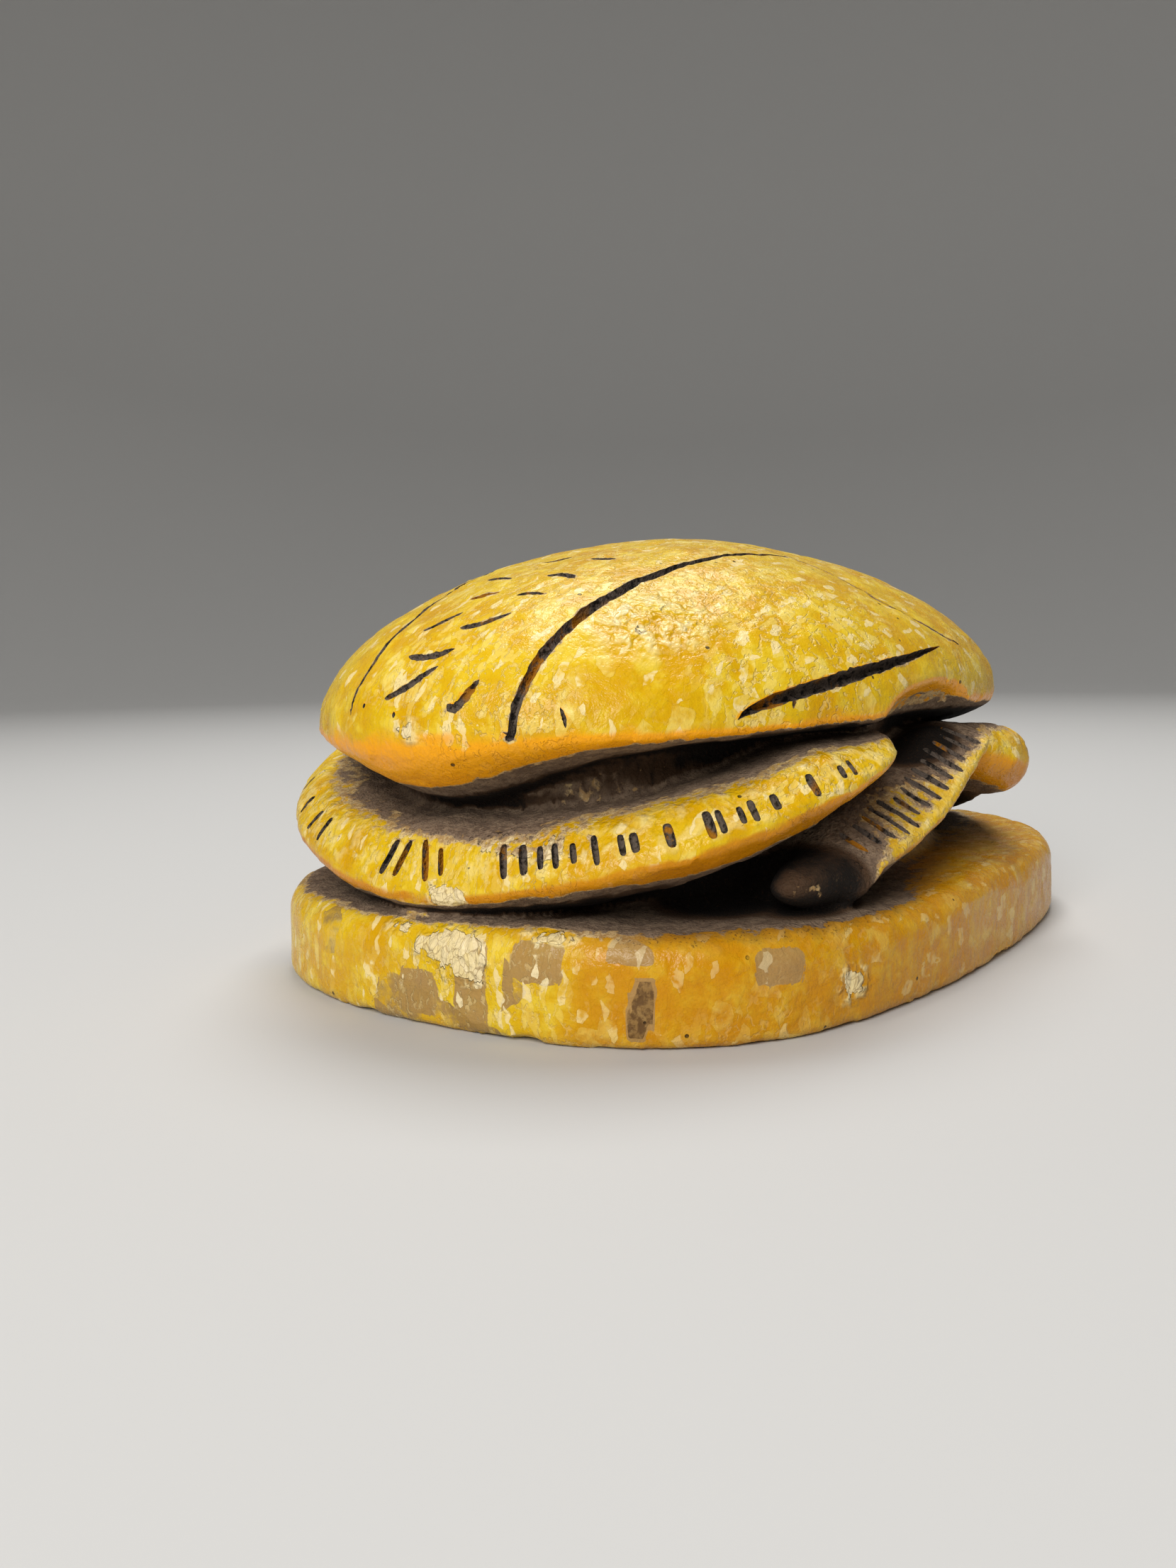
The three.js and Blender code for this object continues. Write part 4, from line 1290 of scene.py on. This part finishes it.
    # Painted shade: on walls, in the deepest gaps and in the strongest patches the grey patina turns dark
    # brown, then near black, standing in for shadow.
    browner_shade = (painted_shade + ragged * 0.5).rise(0.1, 0.6)
    grime_and_shade = (blotch * 0.5 + fine * 0.5).rise(0.4, 0.6).colour(PATINA_GREY, PATINA_PALE)
    grime_and_shade = (browner_shade * 0.9).colour(grime_and_shade, SHADE_AND_SPECK_BROWN)
    grime_and_shade = (painted_shade + ragged * 0.3).rise(0.6, 1.0).colour(grime_and_shade, PAINTED_SHADE_BLACK)
    stone = deep.colour(stone, grime_and_shade)
    specks = grain.rise(0.62, 0.7) * dirt_and_shade.rise(0.25, 0.4)
    stone = (specks * 0.5).colour(stone, SHADE_AND_SPECK_BROWN)
    ink = fine.rise(0.38, 0.5).colour(INK, INK_GREY)
    ink = (broad.rise(0.5, 0.56) * middling.rise(0.47, 0.54) * plate.rise(1.0, 0.0)).colour(ink, INK_RUST)
    stone = (cut * 0.98).colour(stone, ink)

    # How rough each spot is, and its fine relief.
    matte = deep.larger(cut).larger(specks)
    shine = 0.28 + (fine - 0.5) * 0.4 + (middling - 0.5) * 0.2 + dirt_and_shade.rise(0.15, 0.45) * 0.3
    rough = shine + (0.85 - shine) * matte

    relief = (small_chance - 0.5) * 0.05 + (medium_chance - 0.5) * 0.05 - slivers * 0.05
    relief = relief + (fine - 0.5) * 0.08 + (middling - 0.5) * 0.16 - pinholes * 0.25
    relief = relief + crumpled_and_highlit * ((blotch - 0.5) * 0.5 + small_chance * 0.12)
    relief = relief + bare_here * (small_chance * 0.2 + 0.04) + matte * (grain - 0.5) * 0.14
    bump = relief.node("ShaderNodeBump", {}, {"Strength": 1.0, "Distance": MM, "Height": relief})

    tree.links.new(stone.socket, skin.inputs["Base Color"])
    tree.links.new(rough.socket, skin.inputs["Roughness"])
    tree.links.new(bump.socket, skin.inputs["Normal"])
    skin.inputs["Specular IOR Level"].default_value = 0.24
    return material


# ---- the stage ---------------------------------------------------------------------------------------

FLOOR_RADIUS = 0.5
FLOOR_BEND = 0.35
FLOOR_WALL = 0.6
FLOOR_SIDES = 96
SEAL_MIDDLE = Vector((0, 0, 0.015))


def plain_finish(name, colour, roughness):
    material = bpy.data.materials.new(name)
    material.use_nodes = True
    skin = material.node_tree.nodes["Principled BSDF"]
    skin.inputs["Base Color"].default_value = colour
    skin.inputs["Roughness"].default_value = roughness
    return material


def dish_floor(colour):
    """A flat round floor whose far edge turns up smoothly into a wall."""
    profile = [(0.3, 0.0), (0.46, 0.0), (0.49, 0.0), (FLOOR_RADIUS, 0.0)]
    for t in np.linspace(0, math.pi / 2, 14)[1:]:
        profile.append((FLOOR_RADIUS + FLOOR_BEND * math.sin(t), FLOOR_BEND * (1 - math.cos(t))))
    profile.append((FLOOR_RADIUS + FLOOR_BEND, FLOOR_WALL))
    vertices = []
    for radius, rise in profile:
        for i in range(FLOOR_SIDES):
            angle = 2 * math.pi * i / FLOOR_SIDES
            vertices.append((radius * math.cos(angle), radius * math.sin(angle), rise))
    faces = [tuple(range(FLOOR_SIDES))]
    for ring in range(0, len(vertices) - FLOOR_SIDES, FLOOR_SIDES):
        for i in range(FLOOR_SIDES):
            a = ring + i
            b = ring + (i + 1) % FLOOR_SIDES
            faces.append((a, b, b + FLOOR_SIDES, a + FLOOR_SIDES))
    mesh = bpy.data.meshes.new("Floor")
    mesh.from_pydata(vertices, [], faces)
    mesh.polygons.foreach_set("use_smooth", [False] + [True] * (len(faces) - 1))
    mesh.materials.append(plain_finish("Pale Floor", colour, 0.85))
    floor = bpy.data.objects.new("Floor", mesh)
    bpy.context.scene.collection.objects.link(floor)
    return floor


def soft_light(name, power, size, place):
    """A square area light that looks at the middle of the seal."""
    data = bpy.data.lights.new(name, "AREA")
    data.energy = power
    data.size = size
    lamp = bpy.data.objects.new(name, data)
    bpy.context.scene.collection.objects.link(lamp)
    lamp.location = place
    lamp.rotation_euler = (SEAL_MIDDLE - Vector(place)).to_track_quat("-Z", "Y").to_euler()
    return lamp


# ---- settings ----------------------------------------------------------------------------------------


def length_setting(name, description, default, **more):
    more.update(unit="LENGTH", precision=5)
    return FloatProperty(name=name, description=description, default=default, **more)


def colour_setting(name, description, default):
    return FloatVectorProperty(name=name, description=description, default=default, size=4, subtype="COLOR")


class ScarabCarving(bpy.types.PropertyGroup):
    """How finely the carving is made and how its marks are cut."""

    grid_step: length_setting(
        "Grid Step",
        "Spacing of the grid on which the carving is worked out",
        0.0003,
        min=0.0002,
    )
    triangles: IntProperty(
        name="Triangles",
        description="About how many triangles the carved body keeps before its marks are cut",
        default=150000,
        min=10000,
    )
    relief: length_setting(
        "Chip Relief",
        "How far stone chips stand up or lie below the surface",
        0.00003,
    )
    notch_width: length_setting("Notch Width", "Width of a hatch notch", 0.00055)
    notch_depth: length_setting("Notch Depth", "Depth of a hatch notch", 0.00045)
    seed: IntProperty(
        name="Seed",
        description="Seed of the small differences between marks",
        default=11,
    )


class ScarabFinish(bpy.types.PropertyGroup):
    """The look of the stone."""

    chip_size: length_setting("Chip Size", "Size of the stone chips in the casting", 0.002)
    grime_and_shade: FloatProperty(
        name="Grime",
        description="How strongly dark grime fills the recesses",
        default=1.0,
        min=0.0,
        max=2.0,
    )
    amber: colour_setting("Amber", "Colour of the stone's body", AMBER)
    amber_pale: colour_setting("Pale Amber", "Colour of the body's paler zones", AMBER_PALE)
    amber_deep: colour_setting("Deep Amber", "Colour of the body's deeper zones", AMBER_DEEP)


class ScarabStage(bpy.types.PropertyGroup):
    """The floor, the light and the camera."""

    key_power: FloatProperty(
        name="Key Power",
        description="Power of the large soft light above the tail",
        default=2.4,
        unit="POWER",
    )
    top_power: FloatProperty(
        name="Top Power",
        description="Power of the soft light overhead",
        default=1.4,
        unit="POWER",
    )
    sky: FloatProperty(
        name="Sky",
        description="Strength of the even light from all round",
        default=0.14,
    )
    floor_colour: colour_setting(
        "Floor Colour",
        "Colour of the floor and its upturned edge",
        (0.56, 0.55, 0.53, 1.0),
    )
    lens: FloatProperty(
        name="Lens",
        description="Focal length of the camera in millimetres",
        default=28.48,
    )


# ---- operators ---------------------------------------------------------------------------------------


FLAKE_SIZE = 1.5
SHARP_TURN = math.radians(42)
CUT_SHADES = {"Cut Faces": 1.0, "Faint Faces": 0.45}


class SCARAB_OT_carve_body(bpy.types.Operator):
    """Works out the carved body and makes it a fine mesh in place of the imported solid"""

    bl_idname = "scarab.carve_body"
    bl_label = "Carve Body"

    def execute(self, context):
        carving = context.scene.scarab_carving
        chips = edge_chips()

        def field(p):
            return carving_distance(p, chips)

        step = carving.grid_step / MM * 1
        values, low = field_on_grid(field, step)
        fill_touching_corners(values)
        vertices, quads = surface_net(values, low, step)
        vertices = settle(vertices, field, step)
        body = mesh_object(PIECE, vertices, quads)
        count = 2 * len(quads)
        if count > carving.triangles:
            fewer = body.modifiers.new("Fewer Faces", "DECIMATE")
            fewer.ratio = carving.triangles / count
            settle_modifiers(body)
        spots = vertex_array(body.data) / MM
        normals = vertex_array(body.data, "normal")
        lifted = flake_relief(spots, normals, FLAKE_SIZE, carving.relief / MM)
        body.data.vertices.foreach_set("co", (lifted * MM).ravel())
        body.data.update()
        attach(body, "root")
        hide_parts(NODE)
        return {"FINISHED"}


class SCARAB_OT_cut_marks(bpy.types.Operator):
    """Cuts the seams, the strokes and the hatching into the carved body"""

    bl_idname = "scarab.cut_marks"
    bl_label = "Cut Marks"

    def execute(self, context):
        carving = context.scene.scarab_carving
        body = bpy.data.objects[PIECE]
        rng = np.random.default_rng(carving.seed)
        inner = bpy.data.materials.new("Cut Faces")
        faint = bpy.data.materials.new("Faint Faces")
        body.data.materials.append(bpy.data.materials.new("Outer Faces"))
        seams, sides, thorax, strokes, hairs, plain = carved_lines()
        cutters = [
            tubes_object("Seam Cutters", seams + sides, rng),
            tubes_object("Stroke Cutters", strokes + hairs, rng),
            tubes_object("Thorax Cutter", thorax + plain, rng),
        ]
        for cutter, paint in zip(cutters, (inner, inner, faint)):
            cutter.data.materials.append(paint)
        tree, (width, depth, seed, finish) = notch_tree()
        notches = hatch_points("Notch Cutters", hatch_marks())
        made = notches.modifiers.new("Notches", "NODES")
        made.node_group = tree
        made[width] = carving.notch_width
        made[depth] = carving.notch_depth
        made[seed] = carving.seed
        made[finish] = inner
        settle_modifiers(notches)
        cutters.append(notches)
        for cutter in cutters:
            cut = body.modifiers.new("Cut", "BOOLEAN")
            cut.operation = "DIFFERENCE"
            cut.solver = "MANIFOLD"
            cut.material_mode = "TRANSFER"
            cut.object = cutter
            settle_modifiers(body)
            bpy.data.objects.remove(cutter)
        drop_crumbs(body.data)
        return {"FINISHED"}


class SCARAB_OT_dress_stone(bpy.types.Operator):
    """Works out where patina and painted shade, the painted glow of low edges, wear, flaked patches and a
    painted highlight lie, and gives the body its stone finish
    """

    bl_idname = "scarab.dress_stone"
    bl_label = "Dress Stone"

    def execute(self, context):
        body = bpy.data.objects[PIECE]
        mesh = body.data
        spots = vertex_array(mesh) / MM
        normals = vertex_array(mesh, "normal")
        seams, sides, thorax, strokes, _, _ = carved_lines()
        slot = np.empty(len(mesh.polygons), np.int32)
        mesh.polygons.foreach_get("material_index", slot)
        names = [material.name if material else "" for material in mesh.materials]
        shade = np.array([CUT_SHADES.get(name, 0) for name in names])
        cut = mesh.attributes.new("cut", "FLOAT", "FACE")
        cut.data.foreach_set("value", shade[slot].astype(np.float32))
        closed = recess_depth(spots, normals, carving_distance)
        # The strongest of these patches feed painted shade as well as dirt.
        soiled_and_shaded = patch_strength(both_sides(spots), SOILED_AND_SHADED_ON_BOTH_SIDES, ROUND)
        soiled_and_shaded = np.maximum(soiled_and_shaded, patch_strength(spots, SOILED_PATCHES, ROUND))
        set_point_layer(mesh, "recess", dirt_and_gap_shade(closed, normals[:, 2]))
        set_point_layer(mesh, "painted_shade", painted_recess_shade(closed, normals[:, 2], soiled_and_shaded))
        set_point_layer(mesh, "wear", edge_wear(spots, normals, carving_distance))
        set_point_layer(mesh, "under", painted_glow_sides(spots, normals))
        dusty = flange_dust(spots, normals[:, 2], closed)
        set_point_layer(mesh, "bare_and_highlit", np.maximum(patch_strength(spots, BARE_AND_HIGHLIGHT_PATCHES, ROUND), dusty))
        set_point_layer(mesh, "taupe", patch_strength(spots, TAUPE_PATCHES, BOXY))
        near_lines = nearness(spots, seams + sides + thorax + strokes, DIRT_REACH)
        set_point_layer(mesh, "soiled_and_shaded", np.maximum(soiled_and_shaded, 0.35 * near_lines))
        mesh.polygons.foreach_set("material_index", np.zeros(len(slot), np.int32))
        mesh.materials.clear()
        mesh.materials.append(stone_finish(context.scene.scarab_finish))
        mesh.polygons.foreach_set("use_smooth", np.ones(len(slot), bool))
        mesh.set_sharp_from_angle(angle=SHARP_TURN)
        mesh.update()
        return {"FINISHED"}


class SCARAB_OT_set_stage(bpy.types.Operator):
    """Sets the pale floor with its upturned edge, the soft lights and the camera"""

    bl_idname = "scarab.set_stage"
    bl_label = "Set Stage"

    def execute(self, context):
        stage = context.scene.scarab_stage
        floor = dish_floor(stage.floor_colour)
        key = soft_light("Key", stage.key_power, size=0.26, place=(-0.42, -0.12, 0.30))
        top = soft_light("Top", stage.top_power, size=0.22, place=(0.14, 0.08, 0.42))
        world = bpy.data.worlds.new("Studio")
        world.use_nodes = True
        sky = world.node_tree.nodes["Background"]
        sky.inputs["Color"].default_value = (1, 1, 1, 1)
        sky.inputs["Strength"].default_value = stage.sky
        context.scene.world = world
        context.scene.view_settings.view_transform = "Standard"
        data = bpy.data.cameras.new("Camera")
        data.sensor_width = 36
        data.lens = stage.lens
        data.clip_start = 0.005
        camera = bpy.data.objects.new("Camera", data)
        context.scene.collection.objects.link(camera)
        turn = Matrix((CAMERA_RIGHT, CAMERA_UP, -CAMERA_FORWARD)).transposed()
        camera.matrix_world = Matrix.Translation(CAMERA_PLACE) @ turn.to_4x4()
        context.scene.camera = camera
        return {"FINISHED"}


class SCARAB_PT_seal(bpy.types.Panel):
    """The seal's operators and settings"""

    bl_idname = "SCARAB_PT_seal"
    bl_label = "Scarab Seal"
    bl_space_type = "VIEW_3D"
    bl_region_type = "UI"
    bl_category = "Scarab Seal"

    def draw(self, context):
        for settings, operators in (
            (context.scene.scarab_carving, ("scarab.carve_body", "scarab.cut_marks")),
            (context.scene.scarab_finish, ("scarab.dress_stone",)),
            (context.scene.scarab_stage, ("scarab.set_stage",)),
        ):
            box = self.layout.box()
            for name in type(settings).__annotations__:
                box.prop(settings, name)
            for operator in operators:
                box.operator(operator)


CLASSES = (
    ScarabCarving,
    ScarabFinish,
    ScarabStage,
    SCARAB_OT_carve_body,
    SCARAB_OT_cut_marks,
    SCARAB_OT_dress_stone,
    SCARAB_OT_set_stage,
    SCARAB_PT_seal,
)
SETTINGS = {"scarab_carving": ScarabCarving, "scarab_finish": ScarabFinish, "scarab_stage": ScarabStage}


def register():
    for item in CLASSES:
        bpy.utils.register_class(item)
    for name, group in SETTINGS.items():
        setattr(bpy.types.Scene, name, bpy.props.PointerProperty(type=group))


def unregister():
    for name in SETTINGS:
        delattr(bpy.types.Scene, name)
    for item in reversed(CLASSES):
        bpy.utils.unregister_class(item)


def main():
    register()
    bpy.ops.scarab.carve_body()
    bpy.ops.scarab.cut_marks()
    bpy.ops.scarab.dress_stone()
    bpy.ops.scarab.set_stage()


if __name__ == "__main__":
    main()
